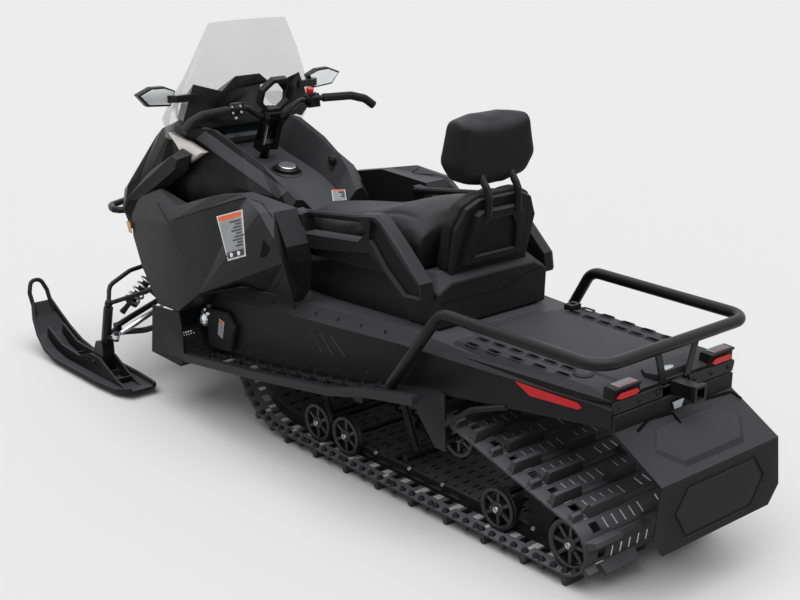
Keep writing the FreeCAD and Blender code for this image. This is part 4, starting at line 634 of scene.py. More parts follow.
def turned(name: str, profile: list[tuple[float, float]], start: Point, toward: Point, sides: int = 32,
           edge: float = 0.0) -> Piece:
    """Spins a closed profile round a line.

    Args:
        name: The piece's name.
        profile: Corners as (distance along the line, radius), in millimetres.
        start: The line's beginning.
        toward: A second point of the line.
        sides: The number of sides.
        edge: The rounding of sharp edges.

    Returns:
        The piece.
    """
    axis = (metres(toward) - metres(start)).normalized()
    out = axis.orthogonal().normalized()
    piece = ring_through(name, [tuple(Vector(start) + axis * along + out * radius) for along, radius in profile])
    with chosen(piece, Part.EDGE, every):
        bpy.ops.mesh.spin(steps=sides, angle=math.tau, center=metres(start), axis=axis)
        bpy.ops.mesh.select_all(action="SELECT")
        bpy.ops.mesh.remove_doubles(threshold=SAME_CORNER)
        bpy.ops.mesh.dissolve_degenerate(threshold=SAME_CORNER)
        close_skin()
    return round_edges(piece, edge)


def coil(name: str, start: Point, end: Point, radius: float, wire: float, turns: int) -> Piece:
    """Winds a spring of round wire between two points.

    Args:
        name: The piece's name.
        start: The middle of its first turn.
        end: The middle of its last turn.
        radius: The radius of its turns, in millimetres.
        wire: The wire's radius.
        turns: The number of turns.

    Returns:
        The spring.
    """
    heading = metres(end) - metres(start)
    bpy.ops.mesh.primitive_circle_add(vertices=8, radius=wire * MM, location=(radius * MM, 0.0, 0.0),
                                      rotation=(math.pi / 2, 0.0, 0.0))
    piece = take(name)
    rework(piece, "SCREW", screw_offset=heading.length / turns, iterations=turns, steps=COIL_STEPS,
           render_steps=COIL_STEPS, use_merge_vertices=True)
    with chosen(piece, Part.EDGE, every):
        bpy.ops.mesh.fill_holes(sides=0)
        close_skin()
    piece.rotation_euler = heading.to_track_quat("Z", "Y").to_euler()
    piece.location = metres(start)
    select_only(piece)
    return round_edges(take(name), 0.0)


def bead(name: str, points: list[Point], radius: float, closed: bool = False) -> Piece:
    """Lays a thin round line along points, for shut lines, lips, welts and wires.

    Args:
        name: The piece's name.
        points: The line's points, in millimetres.
        radius: The line's radius.
        closed: Whether the last point runs on to the first.

    Returns:
        The piece.
    """
    curve = bpy.data.curves.new(name, "CURVE")
    curve.dimensions = "3D"
    curve.bevel_depth = radius * MM
    curve.bevel_resolution = 1
    curve.use_fill_caps = True
    line = curve.splines.new("POLY")
    line.points.add(len(points) - 1)
    for corner, place in zip(line.points, points):
        corner.co = (*metres(place), 1.0)
    line.use_cyclic_u = closed
    piece = bpy.data.objects.new(name, curve)
    bpy.context.scene.collection.objects.link(piece)
    select_only(piece)
    bpy.ops.object.convert(target="MESH")
    return round_edges(bpy.context.active_object, 0.0)


def joined(name: str, pieces: list[Piece]) -> Piece:
    """Joins pieces of one finish into one piece.

    Args:
        name: The whole piece's name.
        pieces: The pieces, of which the first takes in the others.

    Returns:
        The whole piece.
    """
    select_only(pieces[0])
    for piece in pieces:
        piece.select_set(True)
    bpy.ops.object.join()
    whole = bpy.context.active_object
    whole.name = whole.data.name = name
    return whole


def copied(piece: Piece, name: str, change: Matrix) -> Piece:
    """Copies a piece with its own mesh and moves, turns or mirrors the copy.

    Args:
        piece: The piece that is copied.
        name: The copy's name.
        change: The move, turn or mirroring.

    Returns:
        The copy.
    """
    twin = piece.copy()
    twin.name = name
    twin.data = piece.data.copy()
    twin.data.transform(change)
    if change.determinant() < 0:
        twin.data.flip_normals()
    bpy.context.scene.collection.objects.link(twin)
    return twin


def repeated(piece: Piece, name: str, changes: list[Matrix]) -> Piece:
    """Sets copies of a piece at each place, joined into one piece, and drops the pattern.

    Args:
        piece: The pattern.
        name: The whole piece's name.
        changes: The move of each copy.

    Returns:
        The whole piece.
    """
    copies = [copied(piece, f"{name}_{index}", change) for index, change in enumerate(changes)]
    bpy.data.objects.remove(piece)
    return joined(name, copies)


def both_sides(piece: Piece) -> Piece:
    """Joins a piece of the left side with its mirror image on the right side."""
    return joined(piece.name, [piece, copied(piece, piece.name + "_twin", MIRROR_SIDE)])


def placed(where: Point, outward: Point = UP) -> Matrix:
    """Gives the move that takes a pattern made at the origin, facing up, to a place.

    Args:
        where: The place, in millimetres.
        outward: The direction that the pattern faces there.

    Returns:
        The move.
    """
    turn = Vector(outward).normalized().to_track_quat("Z", "Y").to_matrix().to_4x4()
    return Matrix.Translation(metres(where)) @ turn


def bolts(name: str, places: list[tuple[Point, Point]], radius: float = 7.0) -> Piece:
    """Sets round bolt heads with a hollow hexagon drive.

    Args:
        name: The name of the bolts together.
        places: Each bolt's place and the direction that it faces.
        radius: A head's radius, in millimetres.

    Returns:
        The bolts as one piece.
    """
    head = spool("bolt_head", (0.0, 0.0, -2.0), (0.0, 0.0, radius * 0.55), (radius, radius, radius * 0.8), 14, 0.4)
    with chosen(head, Part.FACE, lambda middle, normal: normal.z > 0.9 and middle.z > 1.0):
        bpy.ops.mesh.inset(thickness=radius * 0.35 * MM, depth=-radius * 0.3 * MM)
    return repeated(head, name, [placed(where, outward) for where, outward in places])


def dress(piece: Piece, finish: Finish | ClearSheet, body: str = "chassis") -> Piece:
    """Gives a piece its material and its body.

    Args:
        piece: The piece to dress.
        finish: The finish that it takes.
        body: The body that carries it.

    Returns:
        The same piece.
    """
    piece.data.materials.clear()
    piece.data.materials.append(Palette.get(finish))
    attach(piece, body)
    LOG.info("piece %s on %s", piece.name, body)
    return piece


def copy_of_node(node: str, name: str) -> Piece:
    """Copies a node's faces into a new piece, with its loose triangles merged into flat faces.

    Args:
        node: The node that is copied.
        name: The copy's name.

    Returns:
        The copy.
    """
    source = frame["nodes"][node]
    piece = bpy.data.objects.new(name, source.data.copy())
    bpy.context.scene.collection.objects.link(piece)
    select_only(piece)
    bpy.ops.object.mode_set(mode="EDIT")
    bpy.ops.mesh.select_all(action="SELECT")
    bpy.ops.mesh.remove_doubles(threshold=SAME_SOLID_CORNER)
    bpy.ops.mesh.dissolve_limited(angle_limit=math.radians(FLAT_DEG))
    bpy.ops.object.mode_set(mode="OBJECT")
    return piece


def soften(node: str, finish: Finish | ClearSheet, width: float,
           shift: Callable[[Vector], Vector] | None = None) -> Piece:
    """Copies a node, rounds the copy's edges and lets it stand for the node.

    Args:
        node: The node that is copied.
        finish: The finish of the copy.
        width: The rounding's width in millimetres.
        shift: Gives each corner's move, where the dressed form differs a little from the plain solid.

    Returns:
        The rounded copy.
    """
    piece = copy_of_node(node, node + "_skin")
    for corner in piece.data.vertices if shift else ():
        corner.co += shift(corner.co / MM) * MM
    round_edges(piece, width, corner_deg=SOLID_SHARP_DEG)
    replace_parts(piece, node)
    return dress(piece, finish, frame["nodes"][node]["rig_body"])


@dataclass(frozen=True)
class Sight:
    """The photograph's camera, also used to find the point of a surface that a place in the picture shows."""

    eye: Point = (-3.650, 2.933, 1.971)
    azimuth_deg: float = -40.82
    tilt_deg: float = -17.66
    lens_mm: float = 61.73
    sensor_mm: float = 36.0
    picture: tuple[int, int] = (800, 600)
    nudges: tuple[float, ...] = (0.0, 1.0, -1.0, 2.0, -2.0, 4.0, -4.0, 7.0, -7.0)
    nowhere: Point = (0.0, 0.0, 700.0)

    def gaze(self) -> Vector:
        """Gives the direction that the camera looks in."""
        azimuth, tilt = math.radians(self.azimuth_deg), math.radians(self.tilt_deg)
        return Vector((math.cos(tilt) * math.cos(azimuth), math.cos(tilt) * math.sin(azimuth), math.sin(tilt)))

    def ray(self, across: float, down: float) -> Vector:
        """Gives the direction of a place in the picture.

        Args:
            across: The place from the picture's left edge.
            down: The place from the picture's top edge.

        Returns:
            The direction from the eye, of length one.
        """
        ahead = self.gaze()
        right = ahead.cross(Vector(UP)).normalized()
        focal = self.lens_mm / self.sensor_mm * self.picture[0]
        up = right.cross(ahead)
        return (ahead + right * (across - self.picture[0] / 2) / focal
                + up * (self.picture[1] / 2 - down) / focal).normalized()

    def on(self, piece: Piece, across: float, down: float, lift: float = 0.0) -> Point:
        """Finds where a place of the picture lies on a piece, or a little beside it where it misses.

        Args:
            piece: The piece that is looked at.
            across: The place from the picture's left edge.
            down: The place from the picture's top edge.
            lift: How far the point is raised off the surface, in millimetres.

        Returns:
            The point in millimetres.
        """
        for nudge in self.nudges:
            hit, where, normal, _ = piece.ray_cast(Vector(self.eye), self.ray(across + nudge, down + nudge * 0.4))
            if hit:
                if normal.dot(self.gaze()) > 0:
                    normal = -normal
                return tuple(where / MM + normal * lift)
        LOG.warning("nothing of %s at %s, %s", piece.name, across, down)
        return self.nowhere

    def line(self, piece: Piece, places: Sequence[tuple[float, float]], lift: float = 0.0,
             step: float = 6.0) -> list[Point]:
        """Follows a line of the picture over a piece's surface.

        Args:
            piece: The piece that is looked at.
            places: The line's corners in the picture.
            lift: How far the line is raised off the surface, in millimetres.
            step: The distance between its points in the picture.

        Returns:
            The line's points in millimetres.
        """
        points = []
        for (xa, ya), (xb, yb) in zip(places, places[1:]):
            count = max(1, round(math.hypot(xb - xa, yb - ya) / step))
            points += [self.on(piece, xa + (xb - xa) * k / count, ya + (yb - ya) * k / count, lift)
                       for k in range(count)]
        return points + [self.on(piece, *places[-1], lift)]

    def ring(self, piece: Piece, *places: tuple[float, float]) -> list[Point]:
        """Gives the points of a piece that lie under some places of the picture."""
        return [self.on(piece, *place) for place in places]


SIGHT = Sight()
WHOLE = (0.0, 1.0)


@dataclass
class Label:
    """A printed label with a heading and plain bars for its text, laid on the surface below its four corners."""

    name: str
    corners: list[Point]
    outward: Point
    ground: Piece | None = None
    bars: int = 9
    discs: bool = True
    bars_from: float = 0.48
    film: float = 0.3
    disc_radius: float = 9.0

    def at(self, across: float, down: float, lift: float) -> Vector:
        """Gives a place of the label, dropped on the ground.

        Args:
            across: The place as a share of the label's width.
            down: The place as a share of its height.
            lift: Its height over the ground, in millimetres.

        Returns:
            The place in millimetres.
        """
        top_left, top_right, low_right, low_left = (Vector(corner) for corner in self.corners)
        out = Vector(self.outward).normalized()
        place = top_left.lerp(top_right, across).lerp(low_left.lerp(low_right, across), down)
        if self.ground is not None:
            eye = Vector(SIGHT.eye)
            eye.y = math.copysign(eye.y, out.y + 0.001)
            hit, where, _, _ = self.ground.ray_cast(eye, (metres(place) - eye).normalized())
            if hit:
                place = where / MM
        return place + out * lift

    def field(self, name: str, across: tuple[float, float], down: tuple[float, float], lift: float, finish: Finish,
              fine: int = 1) -> Piece:
        """Prints one field of the label as a thin layer that follows the surface.

        Args:
            name: The field's name.
            across: Its left and right ends, as shares of the label's width.
            down: Its top and bottom, as shares of the label's height.
            lift: Its height over the surface, in millimetres.
            finish: The ink.
            fine: How many times finer than usual the field's grid is.

        Returns:
            The printed field.
        """
        (left, right), (high, low) = across, down
        columns, rows = (8 * fine, 14) if low - high > 0.2 else (5, 2)
        bpy.ops.mesh.primitive_grid_add(x_subdivisions=columns, y_subdivisions=rows, size=2.0)
        piece = take(f"{self.name}_{name}")
        for corner in piece.data.vertices:
            share_x, share_y = (corner.co.x + 1.0) / 2, (corner.co.y + 1.0) / 2
            corner.co = self.at(left + (right - left) * share_x, high + (low - high) * share_y, lift) * MM
        face_toward(piece, self.outward)
        rework(piece, "SOLIDIFY", thickness=self.film * MM, offset=-1.0)
        return dress(piece, finish)

    def build(self) -> None:
        """Prints the white edge, the orange heading, the grey body and the dark bars."""
        for name, across, down, lift, ink in (("edge", WHOLE, WHOLE, 0.5, PRINT_WHITE),
                                              ("heading", (0.05, 0.95), (0.025, 0.13), 2.0, PRINT_ORANGE),
                                              ("body", (0.05, 0.95), (0.145, 0.975), 2.0, PRINT_GREY)):
            self.field(name, across, down, lift, ink)
        bars = []
        for index in range(self.bars):
            high = 0.19 + 0.60 * index / self.bars
            start = self.bars_from + 0.10 * ((index * 5) % 3)
            bars.append(self.field(f"bar_{index}", (start, 0.92), (high, high + 0.30 / self.bars), 3.0, PRINT_BLACK))
        if self.discs:
            bars.append(self.field("foot", (0.07, 0.93), (0.83, 0.96), 3.0, PRINT_BLACK))
            out = Vector(self.outward).normalized()
            dots = []
            for side in (0.30, 0.68):
                place = self.at(side, 0.895, 3.2)
                dots.append(spool(f"dot_{side}", tuple(place), tuple(place + out * 0.6), (self.disc_radius,) * 2, 20,
                                  0.0))
            dress(joined(f"{self.name}_discs", dots), PRINT_WHITE)
        if bars:
            joined(f"{self.name}_bars", bars)


@dataclass
class Studio:
    """The camera, the lamps and the pale floor."""

    pale: str = "#F0F0F0"
    floor_colour: str = "#EFEFEF"
    surround: float = 0.34
    sun_power: float = 2.25
    sun_spread_deg: float = 70.0
    sun_place: Point = (-0.25, 0.20, 1.0)
    floor_size: float = 160.0
    aim: Point = (0.0, 0.0, 0.6)
    panels: dict[str, tuple[Point, tuple[float, float], float]] = field(default_factory=lambda: {
        "sheen_above": ((-0.2, -0.6, 3.6), (4.0, 1.6), 26.0),
        "sheen_left": ((0.4, 4.0, 2.2), (3.0, 1.2), 9.0),
        "sheen_behind": ((-4.2, -1.2, 2.4), (2.4, 1.2), 8.0)})

    def place_camera(self) -> None:
        """Puts the camera where the photograph was taken from."""
        lens = bpy.data.cameras.new("camera")
        lens.lens = SIGHT.lens_mm
        lens.sensor_width = SIGHT.sensor_mm
        lens.clip_end = 200.0
        bpy.context.scene.camera = self.hang(lens, SIGHT.eye, SIGHT.gaze())

    def hang(self, content: bpy.types.ID, place: Point, gaze: Vector) -> Piece:
        """Puts a camera or a lamp into the scene.

        Args:
            content: The camera's or the lamp's own data.
            place: Where it stands, in metres.
            gaze: The direction that it looks or shines in.

        Returns:
            The camera or the lamp.
        """
        thing = bpy.data.objects.new(content.name, content)
        bpy.context.scene.collection.objects.link(thing)
        thing.location = place
        thing.rotation_euler = gaze.to_track_quat("-Z", "Y").to_euler()
        return thing

    def add_sun(self) -> None:
        """Adds an even light from one side of the sky, spread wide so that shadows are soft."""
        light = bpy.data.lights.new("sky", "SUN")
        light.energy = self.sun_power
        light.angle = math.radians(self.sun_spread_deg)
        self.hang(light, (0.0, 0.0, 0.0), -Vector(self.sun_place))

    def add_panel(self, name: str, place: Point, size: tuple[float, float], power: float) -> None:
        """Adds a soft panel that shows only as a sheen on glossy surfaces.

        Args:
            name: The panel's name.
            place: Its middle, in metres.
            size: Its width and height, in metres.
            power: Its power in watts.
        """
        light = bpy.data.lights.new(name, "AREA")
        light.shape = "RECTANGLE"
        light.size, light.size_y = size
        light.energy = power
        self.hang(light, place, Vector(self.aim) - Vector(place)).visible_diffuse = False

    def paint_world(self) -> None:
        """Makes the surroundings pale to the eye and in glass and metal, and plain in their light."""
        world = bpy.data.worlds.new("studio")
        world.use_nodes = True
        bpy.context.scene.world = world
        path = add_node(world, "ShaderNodeLightPath")
        seen = add_node(world, "ShaderNodeMath", {"operation": "MAXIMUM"},
                        {0: path.outputs["Is Camera Ray"], 1: path.outputs["Is Transmission Ray"]})
        mirrored = add_node(world, "ShaderNodeMath", {"operation": "MAXIMUM"},
                            {0: seen.outputs["Value"], 1: path.outputs["Is Glossy Ray"]})
        level = add_node(world, "ShaderNodeMapRange", {"To Min": self.surround, "To Max": 1.0},
                         {"Value": mirrored.outputs["Value"]})
        set_node(world, world.node_tree.nodes["Background"], {"Color": linear(self.pale)},
                 {"Strength": level.outputs["Result"]})

    def lay_floor(self) -> None:
        """Lays the pale floor, plain and without a shine, a millimetre below the machine."""
        bpy.ops.mesh.primitive_plane_add(size=self.floor_size, location=(0.0, 0.0, -MM))
        floor = take("floor")
        material, shader = new_material("pale_floor")
        set_node(material, shader, {"Base Color": linear(self.floor_colour), "Roughness": 0.9,
                                    "Specular IOR Level": 0.0})
        floor.data.materials.append(material)

    def build(self) -> None:
        """Sets up the whole studio."""
        bpy.context.scene.view_settings.view_transform = "Standard"
        self.place_camera()
        self.paint_world()
        self.lay_floor()
        self.add_sun()
        for name, sizes in self.panels.items():
            self.add_panel(name, *sizes)


@dataclass
class SubAssembly:
    """A named group of nodes with the finish and edge rounding of each."""

    title: str = ""
    skins: dict[str, tuple] = field(default_factory=dict)
    made: dict[str, Piece] = field(default_factory=dict)

    def build(self) -> None:
        """Rounds and dresses every node of the group, then adds the group's own pieces."""
        for node, (finish, width, *shift) in self.skins.items():
            self.made[node] = soften(node, finish, width, *shift)
            LOG.info("%s: %s", self.title, node)
        self.detail()

    def detail(self) -> None:
        """Adds the group's own pieces."""


@dataclass(frozen=True)
class Damper:
    """A damper with its wound spring: an eye, a body between two spring seats, and a shaft."""

    radius: float
    wire: float
    turns: int
    body: float
    stations: tuple[float, ...] = (0.0, 0.20, 0.24, 0.80, 0.84, 1.0)

    def build(self, name: str, top: Vector, low: Vector) -> tuple[Piece, Piece]:
        """Makes the damper and its spring between two points.

        Args:
            name: The name its pieces begin with.
            top: The upper end, in millimetres.
            low: The lower end.

        Returns:
            The damper and its spring.
        """
        place = [tuple(top.lerp(low, share)) for share in self.stations]
        seat, body = self.radius + self.wire, self.body
        solids = [spool(name + "_eye", place[0], place[1], (body * 0.7, body, body), 20, 1.0),
                  spool(name + "_seat_top", place[1], place[2], (seat, seat), 24, 1.0),
                  spool(name + "_body", place[1], place[4], (body * 0.8, body * 0.8), 20, 0.5),
                  spool(name + "_seat_low", place[3], place[4], (seat, seat), 24, 1.0),
                  spool(name + "_shaft", place[4], place[5], (body * 0.55, body * 0.55, body * 0.7), 16, 0.8)]
        spring = coil(name + "_spring", place[2], place[3], self.radius, self.wire, self.turns)
        return joined(name, solids), spring


@dataclass
class TrackUnit(SubAssembly):
    """The rubber track, its slide rails, wheels, arms and shocks."""

    title: str = "track unit"
    skins: dict[str, tuple] = field(default_factory=lambda: {
        "track": (RUBBER, 2.2), "slide_rails": (SHEET, 1.6), "skid_arms": (POWDER, 3.5), "drive_axle": (WHEEL, 2.0)})
    circles: tuple = ((-1312.0, 124.0, 80.0), (60.0, 294.0, 250.0), (290.0, 330.0, 76.0), (-806.0, 282.0, 68.0))
    rows: int = 46
    belt: float = 6.0
    half_width: float = 302.0
    straight_steps: int = 60
    bend_steps: int = 40
    clip_y: float = 236.0
    clip_back_y: float = 262.0
    stud_y: float = 276.0
    tooth_y: float = 291.0
    slot_lines: tuple[float, ...] = (28.0, 92.0, 150.0)
    slit_lines: tuple[float, ...] = (40.0, 78.0, 116.0, 154.0, 192.0)
    rail_y: float = 215.0
    rail_z: float = 84.0
    rail_bolts: tuple[float, ...] = (-60.0, -390.0, -560.0, -720.0, -940.0, -1120.0)
    road_wheels: tuple = ((-112.0, 248.0, 113.3, 69.0), (-268.0, 248.0, 113.3, 69.0), (-1000.0, 248.0, 113.3, 69.0),
                          (-1150.0, 182.0, 124.0, 56.0))
    idler: tuple = (-1312.0, 268.0, 124.0, 79.7)
    carrier: tuple = (-806.0, 230.0, 282.0, 67.7)
    wheel_half: float = 13.0
    shaft_half: float = 312.0
    shocks: tuple = (((60.0, 330.0), (-450.0, 74.3)), ((-420.0, 325.0), (-880.0, 74.3)))
    shock: Damper = Damper(25.0, 4.5, 9, 18.0)
    shock_ends: tuple[float, float] = (16.3, 14.3)

    def stations(self, offset: float, count: int, shift: float = 0.0) -> list[tuple[Vector, Vector]]:
        """Spreads places evenly along the belt.

        Args:
            offset: Distance from the belt's inner face, in millimetres.
            count: The number of places.
            shift: The share of a step by which they are moved on.

        Returns:
            Each place and the direction away from the belt's inside.
        """
        runs = []
        for (xa, za, ra), (xb, zb, rb) in zip(self.circles, self.circles[1:] + self.circles[:1]):
            span = math.hypot(xb - xa, zb - za)
            ux, uz = (xb - xa) / span, (zb - za) / span
            along = (ra - rb) / span
            across = math.sqrt(1 - along * along)
            nx, nz = ux * along + uz * across, uz * along - ux * across
            start = Vector((xa + (ra + offset) * nx, 0.0, za + (ra + offset) * nz))
            end = Vector((xb + (rb + offset) * nx, 0.0, zb + (rb + offset) * nz))
            runs.append((start, end, Vector((nx, 0.0, nz))))
        line = []
        straight, bend = self.straight_steps, self.bend_steps
        for index, (start, end, outward) in enumerate(runs):
            length = (end - start).length
            line += [(start.lerp(end, k / straight), outward, length / straight) for k in range(straight)]
            cx, cz, radius = self.circles[(index + 1) % len(runs)]
            following = runs[(index + 1) % len(runs)][2]
            turn = outward.angle(following)
            for k in range(bend):
                way = Matrix.Rotation(-turn * k / bend, 3, "Y") @ outward
                line.append((Vector((cx, 0.0, cz)) + way * (radius + offset), way, turn * (radius + offset) / bend))
        total = sum(step for _, _, step in line)
        places, gone = [], 0.0
        wanted = sorted((k + shift) % count * total / count for k in range(count))
        for place, outward, step in line:
            while wanted and wanted[0] <= gone + step / 2:
                places.append((place, outward))
                wanted.pop(0)
            gone += step
        return places

    def along_belt(self, offset: float, y: float, count: int, shift: float = 0.0) -> list[Matrix]:
        """Gives the moves that set a pattern along the belt on both sides, facing outwards.

        Args:
            offset: Distance from the belt's inner face, in millimetres.
            y: How far from the middle the pattern stands.
            count: The number of places on one side.
            shift: The share of a step by which they are moved on.

        Returns:
            The moves, left and right in turn.
        """
        moves = []
        for place, outward in self.stations(offset, count, shift):
            turn = Matrix((outward.cross(Vector(LEFT)), LEFT, outward)).transposed().to_4x4()
            moves += [Matrix.Translation(metres((place.x, side * y, place.z))) @ turn for side in SIDES]
        return moves

    def wheel(self, name: str, x: float, y: float, z: float, radius: float, spokes: int) -> Piece:
        """Makes a spoked wheel with a grooved rim, a dished web and a hub, and its twin on the other side.

        Args:
            name: The wheels' name.
            x: The axle's place along the machine, in millimetres.
            y: The left wheel's middle.
            z: The axle's height.
            radius: The wheel's radius.
            spokes: The number of spokes.

        Returns:
            The two wheels as one piece.
        """
        start, toward = (x, y, z), (x, y + 1.0, z)
        rim = turned(name + "_rim", [(-13, radius * 0.86), (-13, radius - 2), (-10, radius), (-3, radius),
                                     (0, radius - 2), (3, radius), (10, radius), (13, radius - 2),
                                     (13, radius * 0.84), (9, radius * 0.78), (-9, radius * 0.78)],
                     start, toward, 36, 0.6)
        hub = turned(name + "_hub", [(-12, 12), (-12, 22), (8, 24), (12.5, 20), (12.5, 12)], start, toward, 24, 0.8)
        spoke = block(name + "_spoke", (-6.0, -5.0, 18.0), (6.0, 7.0, radius * 0.82), 1.6)
        with chosen(spoke, Part.FACE, on_top):
            bpy.ops.transform.resize(value=(1.7, 1.0, 1.0))
        turns = [Matrix.Translation(metres(start)) @ Matrix.Rotation(math.tau * k / spokes, 4, "Y")
                 for k in range(spokes)]
        return both_sides(joined(name, [rim, hub, repeated(spoke, name + "_spokes", turns)]))

    def detail(self) -> None:
        """Adds the belt's fittings, the wheels, the shocks and the rails' bolts."""
        self.belt_fittings()
        self.wheels()
        self.skid_shocks()
        pins = [((x, side * (self.rail_y + 8.0), self.rail_z), (0.0, side, 0.0)) for x in self.rail_bolts
                for side in SIDES]
        dress(bolts("rail_bolts", pins, 8.0), ZINC)

    def lug(self, name: str, low: Point, high: Point, edge: float, taper: Point) -> Piece:
        """Makes a moulded lug whose top is smaller than its foot.

        Args:
            name: The lug's name.
            low: Its lowest corner, in millimetres.
            high: The opposite corner.
            edge: The rounding of its edges.
            taper: How much its top is drawn in along each axis.

        Returns:
            The lug.
        """
        piece = block(name, low, high, edge)
        with chosen(piece, Part.FACE, on_top):
            bpy.ops.transform.resize(value=taper)
        return piece

    def belt_fittings(self) -> None:
        """Adds the belt's clips, inner teeth, low ribs and edge studs, the painted shade of its inner slots and the
        painted light of its see-through slits.
        """
        clip = block("clip", (-13.0, -15.0, -self.belt - 0.25), (13.0, 15.0, 1.6), 0.8)
        with chosen(clip, Part.FACE, lambda middle, normal: abs(normal.y) > 0.9):
            bpy.ops.mesh.inset(thickness=0.8 * MM)
            bpy.ops.mesh.extrude_region_shrink_fatten(TRANSFORM_OT_shrink_fatten={"value": 1.6 * MM})
        tooth = spool("tooth", (0.0, 0.0, 1.0), (0.0, 0.0, -13.0), (14.0, 11.0, 6.0), 5, 1.0)
        rib = self.lug("rib", (-12.0, -self.half_width, -1.0), (12.0, self.half_width, 4.5), 2.0, (0.6, 1.0, 1.0))
        stud = self.lug("stud", (-9.0, -22.0, -1.0), (9.0, 22.0, 22.0), 1.5, (0.5, 0.7, 1.0))
        # Near-black blocks on the belt's inner face paint the shade in its slots.
        slot = block("slot", (-4.0, -15.0, -0.6), (4.0, 15.0, 0.3), 0.0)
        # Near-white blocks on the belt's outer face paint the pale background seen through its slits.
        slit = block("slit", (-17.0, -2.2, -0.3), (17.0, 2.2, 0.35), 0.0)
        back = block("clip_back", (-6.0, -9.0, -4.0), (6.0, 9.0, 0.5), 1.0)
        slots = [move for y in self.slot_lines for move in self.along_belt(0.0, y, self.rows * 2)]
        slits = [move for y in self.slit_lines for move in self.along_belt(self.belt, y, self.rows, 0.5)]
        for name, pattern, moves, finish in (
                ("track_clips", clip, self.along_belt(self.belt, self.clip_y, self.rows), CLIP_PAINTED_PALE),
                ("track_teeth", tooth, self.along_belt(0.0, self.tooth_y, self.rows * 2), GRIP),
                ("track_ribs", rib, self.along_belt(self.belt, 0.0, self.rows)[::2], RUBBER),
                ("edge_studs", stud, self.along_belt(self.belt, self.stud_y, self.rows), RUBBER),
                ("belt_slot_shade_inside", slot, slots, SHADOW),
                ("belt_slits", slit, slits, CLIP_PAINTED_PALE),
                ("clip_backs", back, self.along_belt(0.0, self.clip_back_y, self.rows // 2), CLIP_PAINTED_PALE)):
            dress(repeated(pattern, name, moves), finish)

    def wheels(self) -> None:
        """Adds the spoked road wheels, rear idlers and carrier wheels with their bolts."""
        sets = [self.wheel(f"wheel_{index}", *sizes, 6) for index, sizes in enumerate(self.road_wheels)]
        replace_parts(dress(joined("spoked_road_wheels", sets), WHEEL), "road_wheels")
        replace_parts(dress(self.wheel("spoked_idlers", *self.idler, 8), WHEEL), "rear_idlers")
        carrier = self.wheel("carrier", *self.carrier, 6)
        x, _, z, _ = self.carrier
        shaft = spool("carrier_shaft", (x, -self.shaft_half, z), (x, self.shaft_half, z), (11.0, 11.0), 16, 0.6)
        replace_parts(dress(joined("spoked_carriers", [carrier, shaft]), WHEEL), "carrier_wheels")
        caps = [((x, side * (y + self.wheel_half), z), (0.0, side, 0.0))
                for x, y, z, _ in (*self.road_wheels, self.idler) for side in SIDES]
        dress(bolts("wheel_bolts", caps, 11.0), ZINC)

    def skid_shocks(self) -> None:
        """Adds the skid's two shocks with their springs."""
        bodies, springs = [], []
        for index, ((xa, za), (xb, zb)) in enumerate(self.shocks):
            head, foot = Vector((xa, 0.0, za)), Vector((xb, 0.0, zb))
            way = (foot - head).normalized()
            above, below = self.shock_ends
            body, spring = self.shock.build(f"skid_shock_{index}", head + way * above, foot - way * below)
            bodies.append(body)
            springs.append(spring)
        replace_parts(dress(joined("skid_shock_bodies", bodies), POWDER), "skid_shocks")
        dress(joined("skid_shock_springs", springs), TRIM)


